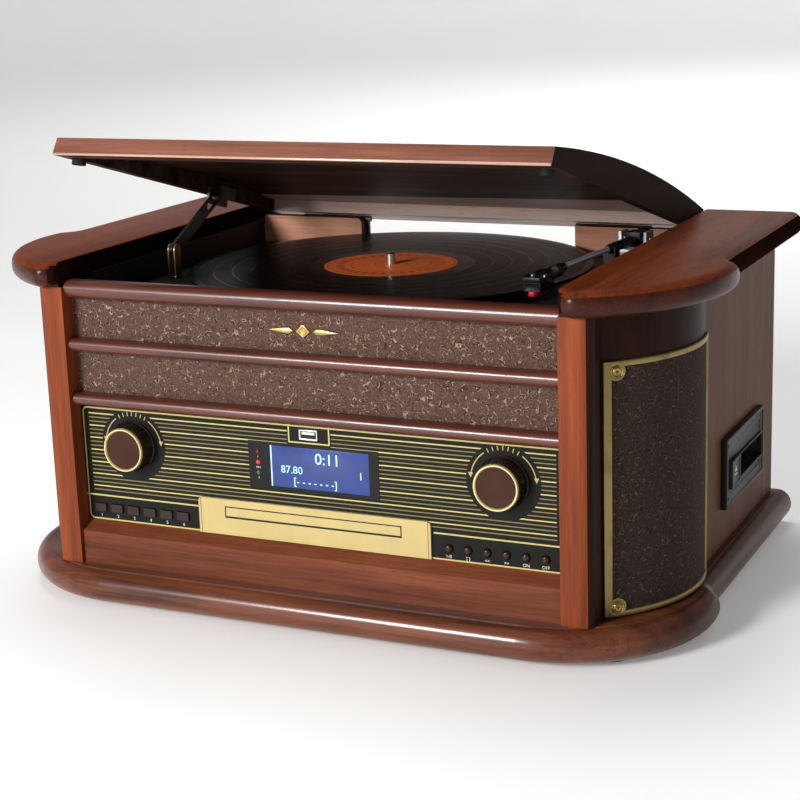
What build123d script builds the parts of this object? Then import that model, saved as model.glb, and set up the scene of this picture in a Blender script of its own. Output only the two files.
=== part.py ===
from build123d import *
import math
import os

# Stereo music centre: a wooden case with a record deck under a hinged lid, a radio and
# compact-disc front, a cassette slot in the right side and curved loudspeaker corners.
# Millimetres. +X is the listener's right, +Y runs to the back, +Z is up.
# The origin is on the table, below the middle of the plinth.

# ---------------------------------------------------------------- clearances
running_gap = 0.05          # radial, shaft in its bearing
sliding_gap = 0.3           # round anything that slides
seat_gap = 0.3              # between a part and the thing it rests against when shut

# ---------------------------------------------------------------- case
foot_height = 3.5
foot_radius = 11.0
foot_inset = 45.0
plinth_thickness = 24.0
plinth_step = 1.0           # the raised land under the case
plinth_nose = 11.0          # rounding of the plinth's edge
plinth_depth = 360.0
plinth_front_overhang = 18.0
plinth_side_overhang = 15.2     # beyond the side panels, along the straight sides
plinth_ear_overhang = 24.2      # and over the rounded front corners
plinth_corner_radius = 105.0
case_height = 204.8         # plinth to the underside of the wings
case_depth = 336.6
side_reach = 91.3           # corner's centre to the outside of a side panel
panel_thickness = 12.0
bay_half = 185.9            # half of the width between the stiles
stile_width = 22.0
stile_depth = 40.0
stile_radius = 8.0
wing_thickness = 18.3
wing_nose = 8.0
wing_side_overhang = 20.2   # beyond the side panels
wing_inner_gap = 1.3        # outside the bay between the stiles
wing_corner_radius = 11.0
wing_overhang = 21.3        # beyond the loudspeaker frames
ear_end_angle = 6.0         # degrees past the widest point, where an ear starts to turn in
step_radius = 14.0          # the two arcs between an ear and the straight side
back_inset = 294.6          # stile front to the face of the back panel
back_thickness = 9.0
notch_half = 93.3           # the back panel is cut down here, so a 12-inch record clears it
notch_floor = 194.0         # above the plinth
notch_radius = 4.0
post_top = 212.8            # above the plinth

# ---------------------------------------------------------------- loudspeaker corners
corner_inset = 57.9         # centre of the curved corner, inside the stile's outer face
corner_y = 101.0            # and behind the stiles' front
frame_radius = 100.9
frame_thickness = 2.3
frame_end_angle = 14.0
frame_floor = 1.0
frame_height = 172.0
frame_bar = 4.0
frame_front_bar = 6.0
frame_ear_radius = 6.3
frame_ear_inset = 9.2       # along the curve, from the front edge
frame_ear_rise = 6.8
speaker_cloth_thickness = 1.0
screw_head_radius = 3.2
screw_head_rise = 0.8
screw_shank_radius = 1.5
screw_length = 9.0
block_depth = 28.0          # curved corner block, at its thickest
driver_angle = -16.5
driver_radius = 41.0
driver_hole_radius = 36.0
driver_depth = 38.0
magnet_radius = 24.0
magnet_depth = 14.0
flange_thickness = 2.5

# ---------------------------------------------------------------- front
face_recess = 12.8          # stile front to the face of the control panel
face_thickness = 2.5
face_floor = 30.8
kick_setback = 3.0
kick_height = 23.9
kick_thickness = 17.0
rail_setback = 2.5
rail_back = 14.0
rail_height = 9.0
top_rail_height = 12.6
lower_rail_floor = 118.0
middle_rail_floor = 158.0
top_rail_floor = 196.4
grille_board_thickness = 9.0
grille_board_top = 197.0
cloth_thickness = 1.2

# ---------------------------------------------------------------- compact-disc drawer
plate_half = 90.1
plate_top = 57.0
plate_rise = 1.8
plate_radius = 3.0
door_half = 68.2
door_floor = 44.4
door_height = 7.1
door_thickness = 3.0
tray_half = 64.0
tray_length = 150.0
tray_height = 5.6
disc_radius = 61.0
disc_recess = 3.0
disc_hub_radius = 18.0
drive_half = 72.0
drive_top = 66.0
drive_depth = 160.0

# ---------------------------------------------------------------- display and socket
window_left = -47.8
window_right = 52.5
window_floor = 67.9
window_top = 102.0
window_rise = 0.4
socket_z = 109.3
socket_width = 13.4
socket_height = 6.6
socket_wall = 0.7

# ---------------------------------------------------------------- knobs and buttons
knob_inset = 43.2           # inside the bay's end
knob_z = 89.5
knob_length = 15.0
knob_front_radius = 16.1
knob_base_radius = 18.6
knob_lift = 0.5             # off the control panel
knob_shaft_radius = 3.0
encoder_radius = 8.0
board_standoff = 9.0        # control panel to circuit board
board_thickness = 1.6
board_inset = 7.9           # inside the bay's end
board_top = 114.0
board_floor = 33.0
board_arch_half = 92.0      # the board is cut away round the disc drive
board_arch_top = 68.0
button_count = 6
button_travel = 1.0
button_stem = 4.0
menu_inset = 11.5           # first square button, inside the bay's left end
menu_end_gap = 14.3         # last square button, outside the disc drawer's plate
menu_z = 40.2
menu_width = 9.5
menu_height = 6.0
menu_rise = 1.4
menu_radius = 0.8
play_inset = 14.4           # last domed button, inside the bay's right end
play_end_gap = 12.4         # first domed button, outside the disc drawer's plate
play_z = 39.4
play_radius = 3.1
play_rise = 2.4

# ---------------------------------------------------------------- record deck
record_radius = 150.5
record_thickness = 1.9
record_top = 200.8          # above the plinth
record_x = -6.0             # the platter stands left of the middle, to leave room for the tonearm
record_y = 166.0            # from the stiles' front
deck_floor = 190.0
deck_thickness = 3.0
deck_gap = 1.9              # deck plate to the loudspeaker corners
deck_rim_thickness = 2.5
deck_rim_top = 209.0
platter_radius = 98.0
platter_thickness = 3.0
platter_skirt = 7.0
platter_wall = 2.5
drum_radius = 62.0
drum_height = 5.0
hub_radius = 14.0
record_hole_radius = 3.62
spindle_radius = 4.5        # below the record
spindle_tip_radius = 3.45
spindle_seat_flare = 0.1    # the spindle widens by this through the record
spindle_rise = 9.0
spindle_depth = 24.0
bearing_radius = 9.0
pulley_radius = 5.5
pulley_distance = 79.0
pulley_angle = 140.0
pulley_height = 5.0
pulley_flange = 1.2
belt_width = 3.6
belt_thickness = 0.8
motor_radius = 16.0
motor_height = 24.0
motor_shaft_radius = 1.0
switch_inset = 17.9         # inside the bay's right end
switch_y = 48.0
switch_travel = 8.0
switch_length = 9.0
switch_width = 5.0
switch_rise = 5.0

# ---------------------------------------------------------------- tonearm
arm_pivot_inset = 27.9      # inside the bay's right end
arm_pivot_y = 248.0
arm_rest_angle = 5.4        # degrees from straight ahead, towards the record
arm_height = 213.0          # of the tube, above the plinth
arm_tube_radius = 2.8
stylus_reach = 165.7
shell_length = 40.0
shell_width = 17.0
shell_thickness = 5.0
cartridge_length = 22.0
cartridge_width = 13.0
weight_radius = 6.5
weight_length = 9.0
weight_gap = 9.0
hub_tilt_room = 2.0         # below the arm's pivot block, so it can tip
yoke_half = 11.0
yoke_cheek = 2.0
yoke_top = 219.0
yoke_depth = 14.0
arm_pin_radius = 1.6
arm_post_radius = 9.0
arm_shaft_radius = 4.0
arm_rest_distance = 45.0
arm_base_thickness = 2.5
arm_base_half = 15.0
cradle_width = 8.0
cradle_wall = 1.6
cradle_lip = 1.2            # the hook stands this far above the tube's axis, on its outer side

# ---------------------------------------------------------------- lid
lid_side_gap = 3.5          # lid to each wing
lid_front_overhang = 13.0
lid_floor_shut = 213.5      # above the plinth, lid shut
lid_front_height = 12.6
lid_front_lean = 4.4
lid_arch_height = 25.1
lid_arch_y = 176.0          # highest point of the arch, from the stiles' front
lid_rear_height = 17.3
lid_rear_y = 335.5
lid_board = 12.0
lid_wall = 8.0
lid_front_wall = 16.0
lid_opening = 15.5          # degrees, with the stay out at its stop
bumper_radius = 5.0
bumper_y = 6.3
bumper_inset = 9.4          # inside the lid's side
hinge_x = 121.0
hinge_width = 62.0
hinge_middle = 26.0
hinge_leaf = 1.5
hinge_leaf_height = 20.0
knuckle_radius = 2.5
hinge_pin_radius = 1.2
knuckle_gap = 0.3
stay_inset = 4.7            # stay to the lid's inner wall
stay_thickness = 2.5
stay_width = 9.6
stay_pivot_y = 128.0
stay_pivot_z = 211.0
stay_reach = 117.0          # hinge axis to the lid's stay pin
stay_pin_radius = 2.0
stay_slot_play = 1.5        # lets the lid's pin swing on its own arc
stay_end = 5.0
stay_cheek = 2.0
stay_side_gap = 0.5
stay_plate_width = 24.0
stay_plate_centre = 93.0    # behind the stay pin, from the hinge axis

# ---------------------------------------------------------------- cassette slot
bezel_front = 184.5
bezel_length = 107.0
bezel_floor = 28.5
bezel_height = 52.5
bezel_rise = 4.7
bezel_margin = 4.0
bezel_radius = 3.0
slot_length = 66.0
slot_height = 17.0
slot_floor = 43.5
slot_margin = 2.5           # slot to the bezel's rear end
cassette_depth = 92.0
cassette_wall = 3.0
key_front = 196.0
key_length = 23.0
key_floor = 41.0
key_height = 21.0
key_rise = 1.2
key_depth = 9.0
key_travel = 3.0
key_stem_radius = 2.5

# ---------------------------------------------------------------- inside and back
transformer_inset = 25.9    # its middle, inside the bay's left end
transformer_y = 225.0
transformer_length = 66.0
transformer_width = 54.0
transformer_height = 56.0
coil_rise = 10.0
coil_overlap = 8.0
connector_plate_width = 86.0
connector_plate_height = 40.0
connector_plate_thickness = 1.5
connector_x = 60.0
connector_z = 58.0
jack_radius = 4.2
jack_length = 9.0
jack_pitch = 18.0
jack_rows = 2
jack_columns = 4
inlet_x = -150.0
inlet_width = 30.0
inlet_height = 22.0
inlet_flange = 4.0
inlet_depth = 18.0

# ---------------------------------------------------------------- datums
front = plinth_front_overhang - plinth_depth / 2
stile_outer = bay_half + stile_width
corner_x = stile_outer - corner_inset
case_side = corner_x + side_reach
plinth_side = case_side + plinth_side_overhang
plinth_ear = case_side + plinth_ear_overhang
wing_side = case_side + wing_side_overhang
wing_inner = bay_half + wing_inner_gap
lid_half = wing_inner - lid_side_gap
base = foot_height + plinth_thickness
case_rear = front + case_depth
plinth_rear = plinth_depth / 2
wing_under = base + case_height
corner = (corner_x, front + corner_y)
band_radius = frame_radius - frame_thickness
face_front = front + face_recess
face_back = face_front + face_thickness
face_bottom = base + face_floor
face_top = base + lower_rail_floor
rail_rear = front + rail_back
back_front = front + back_inset
back_rear = back_front + back_thickness
board_front = face_back + board_standoff
knob_x = bay_half - knob_inset
menu_first_x = menu_inset - bay_half
menu_pitch = (bay_half - menu_inset - plate_half - menu_end_gap) / (button_count - 1)
play_pitch = (bay_half - play_inset - plate_half - play_end_gap) / (button_count - 1)
play_first_x = bay_half - play_inset - play_pitch * (button_count - 1)
deck_top = base + deck_floor
disc_top = base + record_top
disc_floor = disc_top - record_thickness
turntable = (record_x, front + record_y)
switch_x = bay_half - switch_inset
arm_pivot = (bay_half - arm_pivot_inset, front + arm_pivot_y)
arm_z = base + arm_height
hinge_y = back_rear + knuckle_radius + knuckle_gap
hinge_z = base + lid_floor_shut - knuckle_radius - knuckle_gap
stay_x = lid_wall + stay_inset - lid_half
stay_pin_gap = stay_side_gap + stay_thickness / 2
slot_front = bezel_front + bezel_length - slot_margin - slot_length
transformer_x = transformer_inset - bay_half


# ---------------------------------------------------------------- helpers
def block(x0, x1, y0, y1, z0, z1):
    """A box between six planes."""
    return Pos((x0 + x1) / 2, (y0 + y1) / 2, (z0 + z1) / 2) * Box(x1 - x0, y1 - y0, z1 - z0)


def post(centre, radius, z0, z1):
    """An upright cylinder."""
    return Pos(centre[0], centre[1], (z0 + z1) / 2) * Cylinder(radius, z1 - z0)


def cross_rod(x0, x1, y, z, radius):
    """A cylinder along X."""
    return Pos((x0 + x1) / 2, y, z) * Rot(0, 90, 0) * Cylinder(radius, x1 - x0)


def depth_rod(x, y0, y1, z, radius):
    """A cylinder along Y."""
    return Pos(x, (y0 + y1) / 2, z) * Rot(90, 0, 0) * Cylinder(radius, y1 - y0)


def along_x(face, x0, x1):
    """A solid from a face drawn with Y and Z as its two directions."""
    return extrude(Plane.YZ.offset(x0) * face, amount=x1 - x0)


def both_sides(shape):
    """A part and its mirror image on the other side of the case."""
    return [shape, mirror(shape, about=Plane.YZ)]


def polar(centre, radius, angle):
    """A point on a circle, the angle in degrees from +X."""
    turn = math.radians(angle)
    return (centre[0] + radius * math.cos(turn), centre[1] + radius * math.sin(turn))


def band(inner, outer, start, end, z0, z1):
    """A piece of a curved wall about the corner's centre, between two angles."""
    outline = [
        CenterArc(corner, outer, start, end - start),
        Line(polar(corner, outer, end), polar(corner, inner, end)),
        CenterArc(corner, inner, end, start - end),
        Line(polar(corner, inner, start), polar(corner, outer, start)),
    ]
    return extrude(Pos(0, 0, z0) * make_face(outline), amount=z1 - z0)


def radial_rod(angle, z, radius, r0, r1):
    """A cylinder that points away from the corner's centre."""
    middle = polar(corner, (r0 + r1) / 2, angle)
    return Pos(middle[0], middle[1], z) * Rot(0, 0, angle) * Rot(0, 90, 0) * Cylinder(radius, r1 - r0)


def ear_path(centre, radius, start_angle, side, rear):
    """The right edge of a board: front arc, ear, S-shaped step and straight side."""
    arc = CenterArc(centre, radius, start_angle, ear_end_angle - start_angle)
    shift = centre[0] + radius * math.cos(math.radians(ear_end_angle)) - side
    lean = math.cos(math.radians(ear_end_angle))
    turn = math.degrees(math.acos((step_radius * (1 + lean) - shift) / (2 * step_radius)))
    turn_in = JernArc(arc @ 1, arc % 1, step_radius, turn - ear_end_angle)
    turn_back = JernArc(turn_in @ 1, turn_in % 1, step_radius, -turn)
    return [arc, turn_in, turn_back, Line(turn_back @ 1, (side, rear))]


def rounded_edges(board, radius, rear):
    """A board with its top and bottom edges rounded, except along the rear."""
    faces = board.faces().sort_by(Axis.Z)
    edges = faces[0].edges() + faces[-1].edges()
    return fillet(edges.filter_by(lambda edge: abs(edge.center().Y - rear) > 0.01), radius)


def stadium(centre, reach, radius, angle):
    """The face that a loop round two circles encloses: a drum at centre, a pulley at reach."""
    small = polar(centre, reach, angle)
    lean = math.degrees(math.acos((radius[0] - radius[1]) / reach))
    corners = [polar(centre, radius[0], angle + lean), polar(small, radius[1], angle + lean),
               polar(small, radius[1], angle - lean), polar(centre, radius[0], angle - lean)]
    between = make_face(Polyline(*corners, close=True))
    return Pos(*centre) * Circle(radius[0]) + Pos(*small) * Circle(radius[1]) + between


def open_lid(shape):
    """Turns a part that is drawn with the lid shut to the lid's rest place on its stay."""
    return shape.rotate(Axis((0, hinge_y, hinge_z), (-1, 0, 0)), lid_opening)


def lid_point(reach, drop):
    """Where a point in front of and above the hinge axis goes when the lid is on its stay."""
    turn = math.radians(lid_opening)
    return (hinge_y - reach * math.cos(turn) + drop * math.sin(turn),
            hinge_z + reach * math.sin(turn) + drop * math.cos(turn))


# ---------------------------------------------------------------- case parts
def make_plinth():
    corner_centre = (plinth_ear - plinth_corner_radius, front - plinth_front_overhang + plinth_corner_radius)
    path = ear_path(corner_centre, plinth_corner_radius, -90, plinth_side, plinth_rear)
    outline = path + [Line(path[-1] @ 1, (0, plinth_rear)), Line((0, plinth_rear), (0, -plinth_rear)),
                      Line((0, -plinth_rear), path[0] @ 0)]
    half = make_face(outline)
    plan = half + mirror(half, about=Plane.YZ)
    board = extrude(Pos(0, 0, foot_height) * plan, amount=plinth_thickness - plinth_step)
    board = rounded_edges(board, plinth_nose, plinth_rear)
    land = extrude(Pos(0, 0, base - plinth_step) * offset(plan, -plinth_nose), amount=plinth_step)
    return board + land


def make_feet():
    x = plinth_side - foot_inset
    y = plinth_rear - foot_inset
    return [post((sx * x, sy * y), foot_radius, 0, foot_height) for sx in (-1, 1) for sy in (-1, 1)]


def make_wings():
    radius = frame_radius + wing_overhang
    inner_run = wing_inner - corner_x + wing_corner_radius
    meet = -math.degrees(math.acos(inner_run / (radius - wing_corner_radius)))
    nose_centre = polar(corner, radius - wing_corner_radius, meet)
    nose = CenterArc(nose_centre, wing_corner_radius, -180, 180 + meet)
    path = ear_path(corner, radius, meet, wing_side, case_rear)
    outline = [nose] + path + [Line(path[-1] @ 1, (wing_inner, case_rear)),
                               Line((wing_inner, case_rear), nose @ 0)]
    wing = extrude(Pos(0, 0, wing_under) * make_face(outline), amount=wing_thickness)
    return both_sides(rounded_edges(wing, wing_nose, case_rear))


def side_joint():
    """Where the curved corner runs into the flat side panel."""
    return corner[1] + math.sqrt(band_radius ** 2 - (case_side - corner_x) ** 2)


def make_side_panels():
    left = block(-case_side, panel_thickness - case_side, side_joint(), case_rear, base, wing_under)
    hole = block(case_side - panel_thickness, case_side, front + bezel_front + bezel_margin,
                 front + bezel_front + bezel_length - slot_margin / 2,
                 base + bezel_floor + bezel_margin, base + bezel_floor + bezel_height - bezel_margin)
    return [left, mirror(left, about=Plane.YZ) - hole]


def make_stiles():
    stile = block(bay_half, stile_outer, front, front + stile_depth, base, wing_under)
    outer_edge = stile.edges().filter_by(Axis.Z).group_by(Axis.X)[-1].sort_by(Axis.Y)[0]
    return both_sides(fillet(outer_edge, stile_radius))


def frame_start():
    """The angle at which the loudspeaker frame's inner face meets the stile."""
    return -math.degrees(math.acos((stile_outer - corner_x) / band_radius))


def ear_angle():
    return frame_start() + math.degrees(frame_ear_inset / frame_radius)


def ear_heights():
    low = base + frame_floor
    return low + frame_ear_rise, low + frame_height - frame_ear_rise


def corner_screws():
    """The screws of the right loudspeaker frame, top and bottom at its front edge."""
    angle = ear_angle()
    tip = frame_radius - screw_length
    top = frame_radius + screw_head_rise
    seat = frame_radius - frame_thickness / 2
    return [radial_rod(angle, z, screw_head_radius, seat, top)
            + radial_rod(angle, z, screw_shank_radius, tip, seat) for z in ear_heights()]


def make_corner_blocks():
    reach = band_radius - block_depth
    span = 2 * band_radius
    disc = post(corner, band_radius, base, wing_under)
    keep = Pos(*corner, base + case_height / 2) * Rot(0, 0, driver_angle) * Pos(reach + span / 2, 0, 0)
    body = disc & keep * Box(span, 2 * span, case_height)
    body = body & block(stile_outer, corner_x + band_radius, front, side_joint(), base, wing_under)
    hole = radial_rod(driver_angle, driver_z(), driver_hole_radius, 0, frame_radius)
    body = body - hole
    for screw in corner_screws():
        body = body - screw
    return both_sides(body)


def driver_z():
    return base + frame_floor + frame_height / 2


def make_drivers():
    """A basket with flange, cone housing and magnet, as one turned solid."""
    back = band_radius - block_depth
    cone_depth = driver_depth - magnet_depth
    outline = Polyline((0, back), (driver_radius, back), (driver_radius, back - flange_thickness),
                       (driver_hole_radius, back - flange_thickness),
                       (magnet_radius, back - cone_depth), (magnet_radius, back - driver_depth),
                       (0, back - driver_depth), close=True)
    turned = revolve(make_face(outline), Axis.Y)
    aimed = Rot(0, 0, driver_angle - 90) * turned
    return both_sides(Pos(*corner, driver_z()) * aimed)


def frame_ears():
    """Rods through the frame's wall where its two screw ears are."""
    reach = band_radius - frame_ear_radius
    return [radial_rod(ear_angle(), z, frame_ear_radius, reach, frame_radius + frame_ear_radius)
            for z in ear_heights()]


def window_band(inner, outer):
    """The curved wall inside the loudspeaker frame's four bars."""
    start = frame_start() + math.degrees(frame_front_bar / frame_radius)
    end = frame_end_angle - math.degrees(frame_bar / frame_radius)
    low = base + frame_floor + frame_bar
    return band(inner, outer, start, end, low, low + frame_height - 2 * frame_bar)


def make_speaker_frames():
    low = base + frame_floor
    wall = band(band_radius, frame_radius, frame_start(), frame_end_angle, low, low + frame_height)
    frame = wall - window_band(band_radius - frame_bar, frame_radius + frame_bar)
    for ear in frame_ears():
        frame = frame + (wall & ear)
    for screw in corner_screws():
        frame = frame - screw
    return both_sides(frame)


def make_speaker_cloths():
    cloth = window_band(band_radius, band_radius + speaker_cloth_thickness)
    for ear in frame_ears():
        cloth = cloth - ear
    return both_sides(cloth)


def make_back_panel():
    side = case_side - panel_thickness
    panel = block(-side, side, back_front, back_rear, base, wing_under)
    panel = panel + block(-lid_half, lid_half, back_front, back_rear, wing_under, base + post_top)
    notch = block(-notch_half, notch_half, back_front, back_rear, base + notch_floor, base + post_top)
    panel = panel - notch
    tops = panel.edges().filter_by(Axis.Y).group_by(Axis.Z)[-1]
    inner = tops.sort_by(lambda edge: abs(edge.center().X))[:2]
    panel = fillet(inner, notch_radius)
    inlet_z = base + connector_z
    panel = panel - block(inlet_x - inlet_width / 2, inlet_x + inlet_width / 2, back_front, back_rear,
                          inlet_z - inlet_height / 2, inlet_z + inlet_height / 2)
    for jack in jack_places():
        panel = panel - depth_rod(jack[0], back_front, back_rear, jack[1], jack_radius)
    return panel


# ---------------------------------------------------------------- front parts
def rail(floor, height):
    """A rail with a round nose."""
    nose = height / 2
    y0 = front + rail_setback
    middle = base + floor + nose
    bar = block(-bay_half, bay_half, y0 + nose, rail_rear, base + floor, base + floor + height)
    front_half = block(-bay_half, bay_half, y0, y0 + nose, base + floor, base + floor + height)
    return bar + (cross_rod(-bay_half, bay_half, y0 + nose, middle, nose) & front_half)


def make_rails():
    return [rail(lower_rail_floor, rail_height), rail(middle_rail_floor, rail_height),
            rail(top_rail_floor, top_rail_height)]


def make_kick_panel():
    y0 = front + kick_setback
    y1 = y0 + kick_thickness
    section = make_face(Polyline((y0, base), (y0, base + kick_height), (face_front, face_bottom),
                                 (y1, face_bottom), (y1, base), close=True))
    return along_x(section, -bay_half, bay_half)


def make_grille_board():
    y1 = rail_rear + grille_board_thickness
    return block(-bay_half, bay_half, rail_rear, y1, face_top, base + grille_board_top)


def make_grille_cloths():
    y0 = rail_rear - cloth_thickness
    gaps = [(lower_rail_floor + rail_height, middle_rail_floor),
            (middle_rail_floor + rail_height, top_rail_floor)]
    return [block(-bay_half, bay_half, y0, rail_rear, base + low, base + high) for low, high in gaps]


def panel_plane(x, z):
    """A plane on the control panel's face that looks out of the front."""
    return Plane(origin=(x, face_front, base + z), x_dir=(1, 0, 0), z_dir=(0, -1, 0))


def menu_places():
    return [(menu_first_x + menu_pitch * i, menu_z) for i in range(button_count)]


def play_places():
    return [(play_first_x + play_pitch * i, play_z) for i in range(button_count)]


def tray_opening(y0, y1):
    return block(-door_half, door_half, y0, y1, base + door_floor, base + door_floor + door_height)


def socket_block(grow, y0, y1):
    width = socket_width / 2 + grow
    height = socket_height / 2 + grow
    return block(-width, width, y0, y1, base + socket_z - height, base + socket_z + height)


def make_front_panel():
    panel = block(-bay_half, bay_half, face_front, face_back, face_bottom, face_top)
    panel = panel - tray_opening(face_front, face_back)
    panel = panel - block(window_left, window_right, face_front, face_back,
                          base + window_floor, base + window_top)
    panel = panel - socket_block(0, face_front, face_back)
    through = 2 * face_thickness
    for x in (-knob_x, knob_x):
        panel = panel - panel_plane(x, knob_z) * Cylinder(knob_shaft_radius + sliding_gap, through)
    for x, z in menu_places():
        opening = Box(menu_width + 2 * sliding_gap, menu_height + 2 * sliding_gap, through)
        panel = panel - panel_plane(x, z) * opening
    for x, z in play_places():
        panel = panel - panel_plane(x, z) * Cylinder(play_radius + sliding_gap, through)
    return panel


def make_cd_plate():
    y0 = face_front - plate_rise
    plate = block(-plate_half, plate_half, y0, face_front, face_bottom, base + plate_top)
    corners = plate.edges().filter_by(Axis.Y).group_by(Axis.Z)[-1]
    return fillet(corners, plate_radius) - tray_opening(y0, face_front)


def make_cd_tray():
    y0 = face_front - plate_rise
    floor = base + door_floor + sliding_gap
    gap = door_half - sliding_gap
    door = block(-gap, gap, y0, y0 + door_thickness, floor, base + door_floor + door_height - sliding_gap)
    body = block(-tray_half, tray_half, y0 + door_thickness, y0 + tray_length, floor, floor + tray_height)
    centre = (0, y0 + door_thickness + disc_radius + 2 * disc_recess)
    body = body - post(centre, disc_radius, floor + tray_height - disc_recess, floor + tray_height)
    return door + body - post(centre, disc_hub_radius, floor, floor + tray_height)


def make_cd_mechanism():
    """A bridge over the plinth, behind the kick panel, with a tunnel that guides the drawer."""
    y0 = front + kick_setback + kick_thickness
    y1 = y0 + drive_depth
    floor = base + door_floor
    leg = drive_half - tray_half - sliding_gap
    shell = block(-drive_half, drive_half, y0, y1, base, base + drive_top)
    tunnel = block(-tray_half - sliding_gap, tray_half + sliding_gap, y0, y1,
                   floor, floor + tray_height + 2 * sliding_gap)
    below = block(leg - drive_half, drive_half - leg, y0, y1, base, floor - leg)
    return shell - tunnel - below


def make_display_window():
    return block(window_left, window_right, face_front - window_rise, face_back,
                 base + window_floor, base + window_top)


def make_usb_port():
    shell = socket_block(0, face_front - window_rise, board_front)
    return shell - socket_block(-socket_wall, face_front - window_rise, board_front - socket_wall)


def make_knob(x):
    """A round knob with a tapered grip and its shaft."""
    outline = make_face(Polyline((0, knob_lift), (knob_base_radius, knob_lift),
                                 (knob_front_radius + 1, knob_length - 1),
                                 (knob_front_radius, knob_length), (0, knob_length), close=True))
    grip = revolve(Plane.XZ * outline, Axis.Z)
    shaft_end = face_thickness + board_standoff - 1
    shaft = Pos(0, 0, (knob_lift - shaft_end) / 2) * Cylinder(knob_shaft_radius, knob_lift + shaft_end)
    return panel_plane(x, knob_z) * (grip + shaft)


def button_depth():
    return face_thickness + button_stem


def make_menu_button(x, z):
    cap = extrude(Plane.XY.offset(-face_thickness) * RectangleRounded(menu_width, menu_height, menu_radius),
                  amount=face_thickness + menu_rise)
    stem = Pos(0, 0, -(face_thickness + button_depth()) / 2) * Cylinder(menu_height / 4, button_stem)
    return panel_plane(x, z) * (cap + stem)


def make_play_button(x, z):
    length = face_thickness + play_rise
    cap = Pos(0, 0, (play_rise - face_thickness) / 2) * Cylinder(play_radius, length)
    cap = fillet(cap.edges().sort_by(Axis.Z)[-1], min(0.7 * play_radius, 0.9 * play_rise))
    stem = Pos(0, 0, -(face_thickness + button_depth()) / 2) * Cylinder(play_radius / 2, button_stem)
    return panel_plane(x, z) * (cap + stem)


def make_control_board():
    """A circuit board with the two encoders and a switch behind each button."""
    half = bay_half - board_inset
    board = block(-half, half, board_front, board_front + board_thickness,
                  base + board_floor, base + board_top)
    board = board - block(-board_arch_half, board_arch_half, board_front, board_front + board_thickness,
                          base + board_floor, base + board_arch_top)
    for x in (-knob_x, knob_x):
        can = depth_rod(x, face_back, board_front, base + knob_z, encoder_radius)
        bore_end = board_front - socket_wall
        bore = depth_rod(x, face_back, bore_end, base + knob_z, knob_shaft_radius + running_gap)
        board = board + (can - bore)
    switch_front = face_front + button_depth() + button_travel + seat_gap
    for x, z in menu_places() + play_places():
        board = board + block(x - play_radius, x + play_radius, switch_front, board_front,
                              base + z - play_radius, base + z + play_radius)
    return board


# ---------------------------------------------------------------- record deck parts
def pulley_centre():
    return polar(turntable, pulley_distance, pulley_angle)


def make_deck_plate():
    y0 = front + stile_depth
    deck_half = stile_outer - deck_gap
    plate = block(-deck_half, deck_half, y0, back_front, deck_top - deck_thickness, deck_top)
    plate = plate + block(-bay_half, bay_half, rail_rear + grille_board_thickness, y0,
                          deck_top - deck_thickness, deck_top)
    rim = block(wing_inner - deck_rim_thickness, wing_inner, y0, back_front, deck_top, base + deck_rim_top)
    for side in both_sides(rim):
        plate = plate + side
    boss_floor = deck_top - spindle_depth + seat_gap
    plate = plate + post(turntable, bearing_radius, boss_floor, deck_top)
    plate = plate - post(turntable, spindle_radius + running_gap, boss_floor, deck_top)
    plate = plate - post(pulley_centre(), pulley_radius + pulley_flange + sliding_gap,
                         deck_top - deck_thickness, deck_top)
    half = (switch_length + switch_travel) / 2 + sliding_gap
    centre_y = front + switch_y
    slot = switch_width / 4 + sliding_gap
    plate = plate - block(switch_x - half, switch_x + half, centre_y - slot, centre_y + slot,
                          deck_top - deck_thickness, deck_top)
    return plate


def make_platter():
    """A dished platter with a hub and a drum for the belt underneath."""
    top = disc_floor
    under = top - platter_thickness
    disc = post(turntable, platter_radius, under, top)
    skirt = post(turntable, platter_radius, top - platter_skirt, under)
    skirt = skirt - post(turntable, platter_radius - platter_wall, top - platter_skirt, under)
    drum = post(turntable, drum_radius, under - drum_height, under)
    drum = drum - post(turntable, drum_radius - platter_wall, under - drum_height, under)
    hub = post(turntable, hub_radius, under - drum_height, under)
    return disc + skirt + drum + hub - post(turntable, spindle_radius, under - drum_height, top)


def make_spindle():
    """A shaft through the platter's hub, with a slightly tapered seat for the record and a free end."""
    tip = post(turntable, spindle_tip_radius, disc_top, disc_top + spindle_rise)
    tip = chamfer(tip.edges().sort_by(Axis.Z)[-1], spindle_tip_radius / 3)
    seat = Cone(spindle_tip_radius + spindle_seat_flare, spindle_tip_radius, record_thickness)
    seat = Pos(turntable[0], turntable[1], disc_floor + record_thickness / 2) * seat
    return tip + seat + post(turntable, spindle_radius, deck_top - spindle_depth, disc_floor)


def make_record():
    disc = post(turntable, record_radius, disc_floor, disc_top)
    return disc - post(turntable, record_hole_radius, disc_floor, disc_top)


def belt_span():
    """The height at which the belt runs, in the middle of the drum."""
    middle = disc_floor - platter_thickness - drum_height / 2
    return middle - belt_width / 2, middle + belt_width / 2


def make_belt():
    inside = (drum_radius + seat_gap, pulley_radius + seat_gap)
    outside = (inside[0] + belt_thickness, inside[1] + belt_thickness)
    loop = stadium(turntable, pulley_distance, outside, pulley_angle)
    loop = loop - stadium(turntable, pulley_distance, inside, pulley_angle)
    low, high = belt_span()
    return extrude(Pos(0, 0, low) * loop, amount=high - low)


def make_pulley():
    low, high = belt_span()
    centre = pulley_centre()
    wheel = post(centre, pulley_radius, low - (pulley_height - belt_width) / 2, high)
    flange = post(centre, pulley_radius + pulley_flange, low - pulley_height / 2, low - seat_gap)
    motor_top = deck_top - deck_thickness
    shaft = post(centre, motor_shaft_radius, motor_top - motor_height / 2, low)
    return wheel + flange + shaft


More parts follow.
